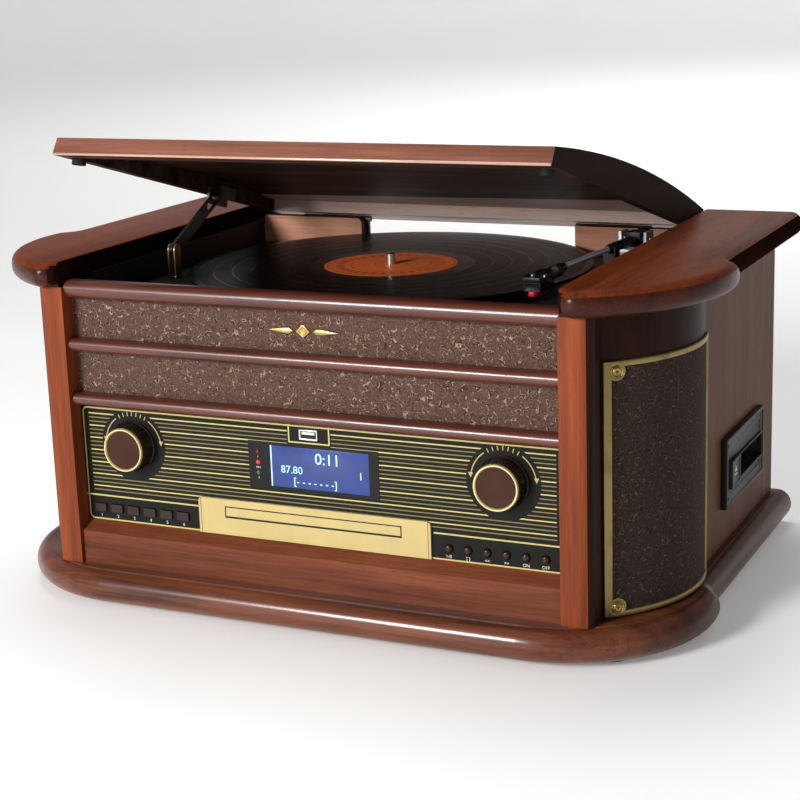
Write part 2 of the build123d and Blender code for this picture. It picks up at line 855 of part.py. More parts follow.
def make_motor():
    top = deck_top - deck_thickness
    centre = pulley_centre()
    can = post(centre, motor_radius, top - motor_height, top)
    bore = post(centre, motor_shaft_radius + running_gap, top - motor_height / 2 - seat_gap, top)
    return can - bore


def make_speed_switch():
    y = front + switch_y
    grip = block(switch_x - switch_length / 2, switch_x + switch_length / 2, y - switch_width / 2,
                 y + switch_width / 2, deck_top + seat_gap, deck_top + switch_rise)
    stem = block(switch_x - switch_length / 4, switch_x + switch_length / 4, y - switch_width / 4,
                 y + switch_width / 4, deck_top - deck_thickness, deck_top + seat_gap)
    return Pos(-switch_travel / 2, 0, 0) * (grip + stem)


# ---------------------------------------------------------------- tonearm parts
def place_arm(shape):
    """Moves a part drawn about the pivot, pointing to the front, to the arm's rest place."""
    return Pos(arm_pivot[0], arm_pivot[1], 0) * Rot(0, 0, -arm_rest_angle) * shape


def make_tonearm_base():
    """A pressed base with the pivot's bearing post and the cradle that holds the arm at rest."""
    floor = deck_top
    top = floor + arm_base_thickness
    length = arm_rest_distance + arm_base_half
    plate = block(-arm_base_half, arm_base_half, -length, arm_base_half, floor, top)
    bearing_top = yoke_floor() - seat_gap
    base_part = plate + post((0, 0), arm_post_radius, top, bearing_top)
    base_part = base_part - post((0, 0), arm_shaft_radius + running_gap, floor, bearing_top)
    y = -arm_rest_distance
    half = arm_tube_radius + seat_gap
    seat = arm_z - half
    y0 = y - cradle_width / 2
    y1 = y + cradle_width / 2
    strip = block(-half - cradle_wall, half + cradle_wall, y0, y1, top, seat)
    hook = block(half, half + cradle_wall, y0, y1, seat, arm_z + cradle_lip)
    return place_arm(base_part + strip + hook)


def yoke_floor():
    return arm_z - 2 * arm_tube_radius - hub_tilt_room - yoke_cheek


def make_tonearm_yoke():
    floor = yoke_floor()
    top = base + yoke_top
    bridge = block(-yoke_half, yoke_half, -yoke_depth / 2, yoke_depth / 2, floor, floor + yoke_cheek)
    cheek = block(yoke_half - yoke_cheek, yoke_half, -yoke_depth / 2, yoke_depth / 2, floor, top)
    yoke = bridge + cheek + mirror(cheek, about=Plane.YZ)
    yoke = yoke - cross_rod(-yoke_half, yoke_half, 0, arm_z, arm_pin_radius + running_gap)
    return place_arm(yoke + post((0, 0), arm_shaft_radius, deck_top, floor))


def make_tonearm():
    """The tube with its pivot block, pin and counterweight."""
    inner = yoke_half - yoke_cheek - seat_gap
    shell_rear = stylus_reach - shell_length + cartridge_length / 2
    tube = depth_rod(0, -shell_rear, weight_gap, arm_z, arm_tube_radius)
    rise = 2 * arm_tube_radius
    hub = block(-inner, inner, -yoke_depth / 2, yoke_depth / 2, arm_z - rise, arm_z + rise)
    pin = cross_rod(-yoke_half, yoke_half, 0, arm_z, arm_pin_radius)
    weight = depth_rod(0, weight_gap, weight_gap + weight_length, arm_z, weight_radius)
    return place_arm(tube + hub + pin + weight)


def make_headshell():
    """A headshell that grips the tube's end, with its cartridge, stylus and finger lift."""
    front_end = -stylus_reach - cartridge_length / 2
    rear_end = front_end + shell_length
    top = arm_z + arm_tube_radius
    floor = top - shell_thickness
    shell = block(-shell_width / 2, shell_width / 2, front_end, rear_end, floor, top)
    lift = block(shell_width / 2, shell_width, front_end, front_end + cartridge_length / 2,
                 floor, floor + cradle_wall)
    cartridge_floor = disc_top + 2.0
    cartridge = block(-cartridge_width / 2, cartridge_width / 2, front_end, front_end + cartridge_length,
                      cartridge_floor, floor)
    needle = Pos(0, -stylus_reach, (cartridge_floor + disc_top + seat_gap) / 2)
    needle = needle * Cone(0.3, 1.2, cartridge_floor - disc_top - seat_gap)
    shell = shell + lift + cartridge + needle
    tube = depth_rod(0, rear_end, rear_end + 1, arm_z, arm_tube_radius)
    return place_arm(shell - tube)


# ---------------------------------------------------------------- lid parts
def lid_profile(drop):
    """The lid's side view, shut: leaning front, arched top; drop lowers the top."""
    floor = base + lid_floor_shut
    y0 = front - lid_front_overhang
    y1 = front + lid_rear_y
    front_top = (y0 + lid_front_lean, floor + lid_front_height - drop)
    rear_top = (y1, floor + lid_rear_height - drop)
    arch = ThreePointArc(front_top, (front + lid_arch_y, floor + lid_arch_height - drop), rear_top)
    return make_face([Line((y0, floor), front_top), arch, Line(rear_top, (y1, floor)),
                      Line((y1, floor), (y0, floor))])


def make_lid():
    floor = base + lid_floor_shut
    body = along_x(lid_profile(0), -lid_half, lid_half)
    under = along_x(lid_profile(lid_board), lid_wall - lid_half, lid_half - lid_wall)
    room = block(-lid_half, lid_half, front - lid_front_overhang + lid_front_wall, back_front,
                 floor, floor + lid_arch_height)
    return open_lid(body - (under & room))


def make_lid_bumpers():
    floor = base + top_rail_floor + top_rail_height + seat_gap
    pad = post((lid_half - bumper_inset, front + bumper_y), bumper_radius, floor, base + lid_floor_shut)
    return [open_lid(copy) for copy in both_sides(pad)]


def hinge_leaves(x):
    """The leaf on the back panel, with its two outer knuckles."""
    y0 = back_rear
    top = hinge_z
    half = hinge_width / 2
    leaf = block(x - half, x + half, y0, y0 + hinge_leaf, top - hinge_leaf_height, top)
    barrel = cross_rod(x - half, x + half, hinge_y, hinge_z, knuckle_radius)
    middle = hinge_middle / 2 + knuckle_gap
    clear = knuckle_radius + knuckle_gap
    gap = block(x - middle, x + middle, y0, hinge_y + clear, hinge_z - clear, hinge_z + clear)
    bore = cross_rod(x - half, x + half, hinge_y, hinge_z, hinge_pin_radius + running_gap)
    return leaf + barrel - gap - bore


def lid_hinge(x):
    """The leaf under the lid, with the middle knuckle and the pin."""
    top = base + lid_floor_shut
    leaf = block(x - hinge_middle / 2, x + hinge_middle / 2, hinge_y, hinge_y + hinge_leaf_height,
                 top - hinge_leaf, top)
    barrel = cross_rod(x - hinge_middle / 2, x + hinge_middle / 2, hinge_y, hinge_z, knuckle_radius)
    pin = cross_rod(x - hinge_width / 2, x + hinge_width / 2, hinge_y, hinge_z, hinge_pin_radius)
    return open_lid(leaf + barrel + pin)


def make_lid_stay_bracket():
    """A plate inside the lid's left wall with the pin that rides in the stay's slot."""
    wall = lid_wall - lid_half
    floor = base + lid_floor_shut
    centre = hinge_y - stay_plate_centre
    roof = floor + lid_front_height - lid_front_lean
    half = stay_plate_width / 2
    plate = block(wall, wall + stay_cheek, centre - half, centre + half, floor, roof)
    pin_y = hinge_y - stay_reach
    tab = block(wall, wall + stay_cheek, pin_y - stay_end, centre, hinge_z - stay_end, floor + stay_end)
    pin = cross_rod(wall + stay_cheek, stay_x + stay_pin_gap + stay_side_gap, pin_y, hinge_z, stay_pin_radius)
    return open_lid(plate + tab + pin)


def stay_pivot():
    return (front + stay_pivot_y, base + stay_pivot_z)


def make_stay_arm():
    """A flat bar that turns on the deck's bracket; the lid's pin rides in its slot."""
    y, z = stay_pivot()
    pin_y, pin_z = lid_point(stay_reach, 0)
    long_reach = math.hypot(pin_y - y, pin_z - z)
    short_reach = math.hypot(hinge_y - stay_reach - y, hinge_z - z)
    rise = math.degrees(math.atan2(pin_z - z, pin_y - y))
    play = stay_pin_radius + stay_slot_play
    slot_run = long_reach - short_reach + 2 * stay_slot_play
    bar = SlotCenterToCenter(long_reach + stay_end, stay_width)
    bar = Pos((long_reach + stay_end) / 2, 0) * bar
    slot = SlotCenterToCenter(slot_run, 2 * play)
    slot = Pos((long_reach + short_reach) / 2, 0) * slot
    face = bar - slot - Circle(stay_pin_radius + running_gap)
    flat = along_x(face, stay_x - stay_thickness / 2, stay_x + stay_thickness / 2)
    return Pos(0, y, z) * Rot(rise, 0, 0) * flat


def make_stay_deck_bracket():
    """Two cheeks on a foot, with the pin that the stay turns on."""
    y, z = stay_pivot()
    inner = stay_thickness / 2 + stay_side_gap
    outer = inner + stay_cheek
    half = stay_width / 2
    foot = block(stay_x - outer, stay_x + outer, y - half, y + half, deck_top, deck_top + stay_cheek)
    cheek = block(stay_x + inner, stay_x + outer, y - half, y + half, deck_top, z + half)
    other = block(stay_x - outer, stay_x - inner, y - half, y + half, deck_top, z + half)
    return foot + cheek + other + cross_rod(stay_x - outer, stay_x + outer, y, z, stay_pin_radius)


# ---------------------------------------------------------------- cassette parts
def slot_block(grow, x0, x1):
    y0 = front + slot_front
    return block(x0, x1, y0 - grow, y0 + slot_length + grow,
                 base + slot_floor - grow, base + slot_floor + slot_height + grow)


def key_block(grow, x0, x1):
    y0 = front + key_front
    return block(x0, x1, y0 - grow, y0 + key_length + grow,
                 base + key_floor - grow, base + key_floor + key_height + grow)


def make_cassette_bezel():
    y0 = front + bezel_front
    bezel = block(case_side, case_side + bezel_rise, y0, y0 + bezel_length,
                  base + bezel_floor, base + bezel_floor + bezel_height)
    bezel = fillet(bezel.edges().filter_by(Axis.X), bezel_radius)
    x0, x1 = case_side, case_side + bezel_rise
    return bezel - slot_block(0, x0, x1) - key_block(sliding_gap, x0, x1)


def make_cassette_mechanism():
    """The slot-loading cassette drive behind the bezel, on a foot that stands on the plinth."""
    y0 = front + bezel_front + bezel_margin
    y1 = front + bezel_front + bezel_length - slot_margin / 2
    low = base + bezel_floor + bezel_margin
    high = base + bezel_floor + bezel_height - bezel_margin
    body = block(case_side - cassette_depth, case_side, y0, y1, low, high)
    foot = block(case_side - cassette_depth, case_side - panel_thickness, y0, y1, base, low)
    room = slot_block(0, case_side - cassette_depth + cassette_wall, case_side)
    key_room = key_block(sliding_gap, case_side - key_depth - key_travel, case_side)
    y, z = key_centre()
    stem_end = case_side - key_depth - key_travel - 2 * key_travel
    stem_room = cross_rod(stem_end, case_side - key_depth, y, z, key_stem_radius + running_gap)
    return body + foot - room - key_room - stem_room


def key_centre():
    return front + key_front + key_length / 2, base + key_floor + key_height / 2


def make_eject_key():
    top = case_side + bezel_rise + key_rise
    y, z = key_centre()
    cap = key_block(0, case_side - key_depth + seat_gap, top)
    stem_end = case_side - key_depth - 2 * key_travel
    stem = cross_rod(stem_end, case_side - key_depth + seat_gap, y, z, key_stem_radius)
    return cap + stem


# ---------------------------------------------------------------- inside and back parts
def make_transformer():
    x0 = transformer_x - transformer_length / 2
    y0 = front + transformer_y - transformer_width / 2
    y1 = y0 + transformer_width
    core = block(x0, x0 + transformer_length, y0, y1, base, base + transformer_height)
    coil = block(x0 + coil_rise, x0 + transformer_length - coil_rise, y0 - coil_overlap, y1 + coil_overlap,
                 base + coil_rise, base + transformer_height - coil_rise)
    return core + coil


def jack_places():
    x0 = connector_x - jack_pitch * (jack_columns - 1) / 2
    z0 = base + connector_z - jack_pitch * (jack_rows - 1) / 2
    return [(x0 + jack_pitch * i, z0 + jack_pitch * j)
            for i in range(jack_columns) for j in range(jack_rows)]


def make_rear_connectors():
    """A plate of round sockets, and the mains inlet."""
    z = base + connector_z
    half_width = connector_plate_width / 2
    half_height = connector_plate_height / 2
    plate = block(connector_x - half_width, connector_x + half_width, back_rear,
                  back_rear + connector_plate_thickness, z - half_height, z + half_height)
    for jack in jack_places():
        plate = plate + depth_rod(jack[0], back_front, back_rear + jack_length, jack[1], jack_radius)
    inlet = block(inlet_x - inlet_width / 2, inlet_x + inlet_width / 2, back_rear - inlet_depth, back_rear,
                  z - inlet_height / 2, z + inlet_height / 2)
    wide = inlet_width / 2 + inlet_flange
    tall = inlet_height / 2 + inlet_flange
    rim = block(inlet_x - wide, inlet_x + wide, back_rear, back_rear + connector_plate_thickness,
                z - tall, z + tall)
    hollow = block(inlet_x - inlet_width / 2 + inlet_flange, inlet_x + inlet_width / 2 - inlet_flange,
                   back_rear - inlet_depth + inlet_flange, back_rear + connector_plate_thickness,
                   z - inlet_height / 2 + inlet_flange, z + inlet_height / 2 - inlet_flange)
    return [plate, inlet + rim - hollow]


# ---------------------------------------------------------------- output
def save(name, shapes):
    """Writes one node, as one solid or as a group of separate solids."""
    group = shapes if isinstance(shapes, list) else [shapes]
    solids = [solid for shape in group for solid in shape.solids()]
    whole = solids[0] if len(solids) == 1 else Compound(children=solids)
    export_step(whole, f"parts/{name}.step")


def main():
    os.makedirs("parts", exist_ok=True)
    save("plinth", make_plinth())
    save("feet", make_feet())
    save("side_panels", make_side_panels())
    save("back_panel", make_back_panel())
    save("stiles", make_stiles())
    save("front_rails", make_rails())
    save("kick_panel", make_kick_panel())
    save("wings", make_wings())
    save("corner_blocks", make_corner_blocks())
    save("speaker_drivers", make_drivers())
    save("speaker_frames", make_speaker_frames())
    save("speaker_cloths", make_speaker_cloths())
    save("speaker_screws", [copy for screw in corner_screws() for copy in both_sides(screw)])
    save("grille_board", make_grille_board())
    save("grille_cloths", make_grille_cloths())
    save("front_panel", make_front_panel())
    save("cd_plate", make_cd_plate())
    save("cd_tray", make_cd_tray())
    save("cd_mechanism", make_cd_mechanism())
    save("display_window", make_display_window())
    save("usb_port", make_usb_port())
    save("volume_knob", make_knob(-knob_x))
    save("tuning_knob", make_knob(knob_x))
    for number, (x, z) in enumerate(menu_places(), start=1):
        save(f"menu_button_{number}", make_menu_button(x, z))
    for number, (x, z) in enumerate(play_places(), start=1):
        save(f"play_button_{number}", make_play_button(x, z))
    save("control_board", make_control_board())
    save("deck_plate", make_deck_plate())
    save("platter", make_platter())
    save("spindle", make_spindle())
    save("record", make_record())
    save("drive_belt", make_belt())
    save("motor_pulley", make_pulley())
    save("drive_motor", make_motor())
    save("speed_switch", make_speed_switch())
    save("tonearm_base", make_tonearm_base())
    save("tonearm_yoke", make_tonearm_yoke())
    save("tonearm", make_tonearm())
    save("headshell", make_headshell())
    save("lid", make_lid())
    save("lid_bumpers", make_lid_bumpers())
    save("hinge_leaves", [hinge_leaves(-hinge_x), hinge_leaves(hinge_x)])
    save("lid_hinges", [lid_hinge(-hinge_x), lid_hinge(hinge_x)])
    save("lid_stay_bracket", make_lid_stay_bracket())
    save("stay_arm", make_stay_arm())
    save("stay_deck_bracket", make_stay_deck_bracket())
    save("cassette_bezel", make_cassette_bezel())
    save("cassette_mechanism", make_cassette_mechanism())
    save("eject_key", make_eject_key())
    save("power_transformer", make_transformer())
    save("rear_connectors", make_rear_connectors())


main()
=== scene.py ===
"""Looks of a stereo music centre, built round its fixed construction frame.

Every piece is shaped in millimetres and handed over in metres, in the frame's own place:
+X is the listener's right, +Y runs to the back, +Z is up, and the table is at zero.
"""

from __future__ import annotations

import logging
import math
from dataclasses import dataclass
from enum import Enum
from typing import Callable, Iterable, Sequence

import bmesh
import bpy
from mathutils import Matrix, Vector


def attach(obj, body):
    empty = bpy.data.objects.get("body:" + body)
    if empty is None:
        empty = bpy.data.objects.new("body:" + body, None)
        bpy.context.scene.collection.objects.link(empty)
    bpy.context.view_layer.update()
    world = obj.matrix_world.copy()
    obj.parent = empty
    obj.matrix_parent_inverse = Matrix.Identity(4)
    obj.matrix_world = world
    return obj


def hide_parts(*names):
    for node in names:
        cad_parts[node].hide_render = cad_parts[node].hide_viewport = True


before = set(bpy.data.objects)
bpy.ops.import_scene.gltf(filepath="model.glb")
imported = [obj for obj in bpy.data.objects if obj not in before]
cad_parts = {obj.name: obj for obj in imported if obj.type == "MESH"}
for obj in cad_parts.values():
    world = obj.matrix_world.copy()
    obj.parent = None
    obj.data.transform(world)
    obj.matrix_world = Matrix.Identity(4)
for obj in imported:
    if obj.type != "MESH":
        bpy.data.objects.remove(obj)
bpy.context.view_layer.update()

MM = 0.001
log = logging.getLogger("music_centre")

Colour = tuple[float, float, float, float]
Point = Sequence[float]
Profile = Sequence[tuple[float, float]]
Test = Callable[[Vector, Vector], bool]

RIGHT, FRONT, BACK, UP = (1, 0, 0), (0, -1, 0), (0, 1, 0), (0, 0, 1)


class Way(Enum):
    """A direction of the frame."""

    X = 0
    Y = 1
    Z = 2


def linear(part: float) -> float:
    """One part of a colour as it is seen, 0 to 255, as its linear share."""
    share = part / 255
    return share / 12.92 if share <= 0.04045 else ((share + 0.055) / 1.055) ** 2.4


def srgb(red: float, green: float, blue: float) -> Colour:
    """A colour as it is seen, 0 to 255, as the linear and opaque one that shaders take."""
    return (linear(red), linear(green), linear(blue), 1.0)


def shade(colour: Colour, factor: float) -> Colour:
    """A colour made darker or lighter by a factor."""
    return (colour[0] * factor, colour[1] * factor, colour[2] * factor, 1.0)


# ------------------------------------------------------------------ shader maths
class Value:
    """A socket that holds a number, so that shader maths reads as Python."""

    def __init__(self, graph: "Graph", socket: bpy.types.NodeSocket) -> None:
        """Keeps the graph and the socket."""
        self.graph = graph
        self.socket = socket

    def __add__(self, other: "Value | float") -> "Value":
        """Sum."""
        return self.graph.math("ADD", self, other)

    __radd__ = __add__

    def __sub__(self, other: "Value | float") -> "Value":
        """Difference."""
        return self.graph.math("SUBTRACT", self, other)

    def __rsub__(self, other: "Value | float") -> "Value":
        """Difference, reflected."""
        return self.graph.math("SUBTRACT", other, self)

    def __mul__(self, other: "Value | float") -> "Value":
        """Product."""
        return self.graph.math("MULTIPLY", self, other)

    __rmul__ = __mul__

    def __pow__(self, other: "Value | float") -> "Value":
        """Power."""
        return self.graph.math("POWER", self, other)

    def __abs__(self) -> "Value":
        """Size without sign."""
        return self.graph.math("ABSOLUTE", self)

    def __gt__(self, other: "Value | float") -> "Value":
        """1 where this is more."""
        return self.graph.math("GREATER_THAN", self, other)

    def __lt__(self, other: "Value | float") -> "Value":
        """1 where this is less."""
        return self.graph.math("LESS_THAN", self, other)

    def most(self, other: "Value | float") -> "Value":
        """The larger of two."""
        return self.graph.math("MAXIMUM", self, other)

    def repeat(self, pitch: float) -> "Value":
        """Distance to the nearest multiple of a pitch."""
        return abs(self.graph.math("FLOORED_MODULO", self + pitch / 2, pitch) - pitch / 2)

    def soft(self, low: float, high: float) -> "Value":
        """A smooth step.

        Args:
            low: Where it leaves 0.
            high: Where it reaches 1.

        Returns:
            The step's height.
        """
        made = self.graph.node("ShaderNodeMapRange", {"interpolation_type": "SMOOTHSTEP"},
                               {"Value": self, "From Min": low, "From Max": high})
        return Value(self.graph, made.outputs["Result"])


class Graph:
    """The node tree of one material."""

    def __init__(self, name: str) -> None:
        """Starts an empty material with a surface and an output.

        Args:
            name: The material's name.
        """
        self.material = bpy.data.materials.new(name)
        self.material.use_nodes = True
        self.tree = self.material.node_tree
        self.tree.nodes.clear()
        self.surface = self.node("ShaderNodeBsdfPrincipled")
        end = self.node("ShaderNodeOutputMaterial")
        self.tree.links.new(self.surface.outputs["BSDF"], end.inputs["Surface"])
        self.place = self.node("ShaderNodeTexCoord").outputs["Object"]

    def node(self, kind: str, settings: dict[str, object] | None = None,
             sockets: dict[str | int, object] | None = None) -> bpy.types.Node:
        """Adds a node.

        Args:
            kind: The node's type.
            settings: Its own properties.
            sockets: What each input gets: a number, a colour, a Value or a socket.

        Returns:
            The node.
        """
        made = self.tree.nodes.new(kind)
        for key, value in (settings or {}).items():
            setattr(made, key, value)
        for key, value in (sockets or {}).items():
            self.feed(made.inputs[key], value)
        return made

    def feed(self, socket: bpy.types.NodeSocket, value: object) -> None:
        """Links or sets one input.

        Args:
            socket: The input.
            value: A number, a colour, a Value or a socket.
        """
        if isinstance(value, Value):
            value = value.socket
        if isinstance(value, bpy.types.NodeSocket):
            self.tree.links.new(value, socket)
        else:
            socket.default_value = value

    def math(self, operation: str, *values: object) -> Value:
        """Adds one Math node and returns its result."""
        made = self.node("ShaderNodeMath", {"operation": operation}, dict(enumerate(values)))
        return Value(self, made.outputs[0])

    def axes(self) -> tuple[Value, Value, Value]:
        """X, Y and Z of the surface point, in millimetres."""
        split = self.node("ShaderNodeSeparateXYZ", None, {0: self.place})
        return tuple(Value(self, split.outputs[i]) * (1 / MM) for i in range(3))

    def reach(self, one: Value, two: Value) -> Value:
        """Length of the diagonal of two offsets."""
        return self.math("SQRT", one ** 2 + two ** 2)

    def noise(self, scale: float | Point, detail: float = 3, rough: float = 0.5, warp: float = 0) -> Value:
        """Cloudy noise about 0.5.

        Args:
            scale: Waves to the metre, one number or one for each axis.
            detail: How many finer layers there are.
            rough: How strong the finer layers are.
            warp: How much the pattern is distorted.

        Returns:
            The noise.
        """
        place, waves = self.place, scale
        if not isinstance(scale, (int, float)):
            place = self.node("ShaderNodeMapping", None, {"Vector": place, "Scale": scale}).outputs[0]
            waves = 1.0
        made = self.node("ShaderNodeTexNoise", None, {
            "Vector": place, "Scale": waves, "Detail": detail, "Roughness": rough, "Distortion": warp})
        return Value(self, made.outputs["Fac"])

    def mix(self, factor: Value | float, first: object, second: object) -> bpy.types.NodeSocket:
        """Mixes two colours, from the first one at 0 to the second one at 1."""
        made = self.node("ShaderNodeMix", {"data_type": "RGBA"}, {0: factor, 6: first, 7: second})
        return made.outputs[2]

    def ramp(self, value: Value, stops: Sequence[tuple[float, Colour]]) -> bpy.types.NodeSocket:
        """Turns a number into a colour.

        Args:
            value: The number.
            stops: Numbers from low to high, each with its colour.

        Returns:
            The colour.
        """
        made = self.node("ShaderNodeValToRGB", None, {"Fac": value})
        elements = made.color_ramp.elements
        while len(elements) < len(stops):
            elements.new(0.5)
        for element, (position, colour) in zip(elements, stops):
            element.position, element.color = position, colour
        return made.outputs["Color"]

    def clouded(self, value: Value, tone: Colour, low: float, high: float,
                spread: float = 0.2) -> bpy.types.NodeSocket:
        """A colour that gets darker and lighter with a number about 0.5.

        Args:
            value: The number.
            tone: The colour.
            low: The colour's factor at the low end.
            high: Its factor at the high end.
            spread: How far the ends lie from 0.5.

        Returns:
            The uneven colour.
        """
        return self.ramp(value, [(0.5 - spread, shade(tone, low)), (0.5 + spread, shade(tone, high))])

    def bump(self, height: Value, strength: float, depth: float = 0.0001) -> bpy.types.NodeSocket:
        """A normal that follows a height; depth is in metres."""
        return self.node("ShaderNodeBump", None, {
            "Strength": strength, "Distance": depth, "Height": height}).outputs["Normal"]

    def finish(self, **sockets: object) -> bpy.types.Material:
        """Feeds the surface.

        Args:
            **sockets: What each input gets; an underscore in its name stands for a space.

        Returns:
            The material.
        """
        for key, value in sockets.items():
            self.feed(self.surface.inputs[key.replace("_", " ")], value)
        return self.material


# ------------------------------------------------------------------ finishes
@dataclass(frozen=True)
class Finish:
    """What a surface is made of and how it is treated."""

    name: str

    def material(self) -> bpy.types.Material:
        """The finish's material, made once."""
        return bpy.data.materials.get(f"finish_{self.name}") or self.paint(Graph(f"finish_{self.name}"))

    def paint(self, graph: Graph) -> bpy.types.Material:
        """Builds the nodes; each kind of finish has its own."""
        raise NotImplementedError


@dataclass(frozen=True)
class StainedWood(Finish):
    """Stained veneer with a figure, fine streaks and open pores along its grain.

    Waves are counted to the metre, along the grain and across it.
    """

    dark: Colour
    light: Colour
    grain: Way = Way.X
    gloss: float = 0.34
    coat: float = 0.25
    shine: float = 0.16
    figure: float = 1.0
    # ends and fade: how far from the middle painted shade starts to darken the wood, and over how far it sets
    # in, in millimetres.
    ends: float = 0.0
    fade: float = 30.0
    figure_waves: tuple[float, float] = (5, 62)
    streak_waves: tuple[float, float] = (22, 620)
    pore_waves: tuple[float, float] = (85, 1900)

    def waves(self, lengths: tuple[float, float]) -> list[float]:
        """Scales for a pattern stretched along the grain."""
        return [lengths[0] if axis is self.grain else lengths[1] for axis in Way]

    def paint(self, graph: Graph) -> bpy.types.Material:
        """Builds the nodes.

        Args:
            graph: The material's node tree.

        Returns:
            The material, darker and duller beyond `ends` where that is set: painted shade.
        """
        figure = graph.noise(self.waves(self.figure_waves), 4, 0.55, 0.7)
        streak = graph.noise(self.waves(self.streak_waves), 4, 0.65)
        pores = graph.noise(self.waves(self.pore_waves), 2, 0.6).soft(0.60, 0.70)
        tone = figure * (0.62 * self.figure) + streak * 0.38 + 0.31 * (1 - self.figure)
        middle = tuple((a + b) / 2 for a, b in zip(self.dark, self.light))
        colour = graph.ramp(tone, [(0.34, self.dark), (0.5, middle), (0.66, self.light)])
        coat: Value | float = self.coat
        # Painted shade: a darker colour and a thinner coat beyond `ends` from the middle.
        if self.ends:
            far = abs(graph.axes()[0]).soft(self.ends, self.ends + self.fade)
            colour = graph.mix(far * 0.62, colour, shade(self.dark, 0.5))
            coat = (1 - far * 0.85) * self.coat
        colour = graph.mix(pores * 0.45, colour, shade(self.dark, 0.35))
        return graph.finish(
            Base_Color=colour, Roughness=streak * 0.16 + (self.gloss - 0.08) + pores * 0.2,
            Specular_IOR_Level=self.shine, Coat_Weight=coat, Coat_Roughness=0.16,
            Normal=graph.bump(streak * 0.4 - pores, 0.18))


@dataclass(frozen=True)
class CurledCloth(Finish):
    """A woven cloth with short curled light threads, each with a painted shadow beside it."""

    ground: Colour
    thread: Colour
    size: float = 250

    def paint(self, graph: Graph) -> bpy.types.Material:
        """Builds the nodes.

        Args:
            graph: The material's node tree.

        Returns:
            The material.
        """
        curls = graph.noise(self.size, 0, 0.5, 1.1)
        light = 1 - abs(curls - 0.5).soft(0.012, 0.052)
        # Painted shadow: a dark band just beside each light thread.
        dark = 1 - abs(curls - 0.585).soft(0.016, 0.07)
        shown = graph.noise(self.size * 1.3, 0, 0.5).soft(0.46, 0.53)
        knots = graph.noise(1150, 2, 0.6)
        colour = graph.clouded(knots, self.ground, 0.46, 1.24, 0.14)
        colour = graph.mix(dark * shown * 0.85, colour, shade(self.ground, 0.22))
        colour = graph.mix(light * shown * 0.9, colour, self.thread)
        return graph.finish(Base_Color=colour, Roughness=0.8, Specular_IOR_Level=0.2,
                            Normal=graph.bump(light * shown + knots * 0.5, 0.6, 0.0005))


@dataclass(frozen=True)
class Plastic(Finish):
    """Moulded plastic with a fine grain and slight wear of its gloss."""

    tone: Colour
    rough: float = 0.45
    grain: float = 0.25
    coat: float = 0.0
    shine: float = 0.22

    def paint(self, graph: Graph) -> bpy.types.Material:
        """Builds the nodes.

        Args:
            graph: The material's node tree.

        Returns:
            The material.
        """
        grain = graph.noise(2600, 2, 0.5)
        wear = graph.noise(45, 4, 0.6)
        return graph.finish(
            Base_Color=graph.clouded(wear, self.tone, 0.82, 1.12), Roughness=wear * 0.16 + (self.rough - 0.08),
            Specular_IOR_Level=self.shine, Coat_Weight=self.coat, Coat_Roughness=0.1,
            Normal=graph.bump(grain, self.grain, 0.00012))


@dataclass(frozen=True)
class Metal(Finish):
    """Bare or lacquered metal, brushed one way or not at all, a little uneven."""

    tone: Colour
    rough: float = 0.3
    metallic: float = 1.0
    tarnish: float = 0.25

    def paint(self, graph: Graph) -> bpy.types.Material:
        """Builds the nodes.

        Args:
            graph: The material's node tree.

        Returns:
            The material.
        """
        lines = graph.noise(1600, 2, 0.6)
        cloud = graph.noise(60, 4, 0.6)
        colour = graph.mix(cloud.soft(0.45, 0.75) * self.tarnish, self.tone, shade(self.tone, 0.45))
        return graph.finish(Base_Color=colour, Metallic=self.metallic,
                            Roughness=lines * 0.18 + cloud * 0.12 + (self.rough - 0.15),
                            Normal=graph.bump(lines, 0.12, 0.00008))


@dataclass(frozen=True)
class Board(Finish):
    """Bare pressed board, or a circuit board, with speckles."""

    tone: Colour
    speck: Colour
    rough: float = 0.8

    def paint(self, graph: Graph) -> bpy.types.Material:
        """Builds the nodes.

        Args:
            graph: The material's node tree.

        Returns:
            The material.
        """
        fibres = graph.noise(700, 5, 0.7)
        specks = graph.noise(1900, 2, 0.6).soft(0.58, 0.68)
        colour = graph.clouded(fibres, self.tone, 0.75, 1.15, 0.15)
        return graph.finish(Base_Color=graph.mix(specks * 0.6, colour, self.speck), Roughness=self.rough,
                            Normal=graph.bump(fibres, 0.3, 0.0003))


@dataclass(frozen=True)
class Glow(Finish):
    """A lit surface, a little uneven."""

    tone: Colour
    power: float
    body: Colour = (0.01, 0.01, 0.01, 1.0)

    def paint(self, graph: Graph) -> bpy.types.Material:
        """Builds the nodes.

        Args:
            graph: The material's node tree.

        Returns:
            The material.
        """
        lit = graph.clouded(graph.noise(90, 2, 0.5), self.tone, 0.8, 1.15)
        return graph.finish(Base_Color=self.body, Roughness=0.25, Emission_Color=lit,
                            Emission_Strength=self.power)


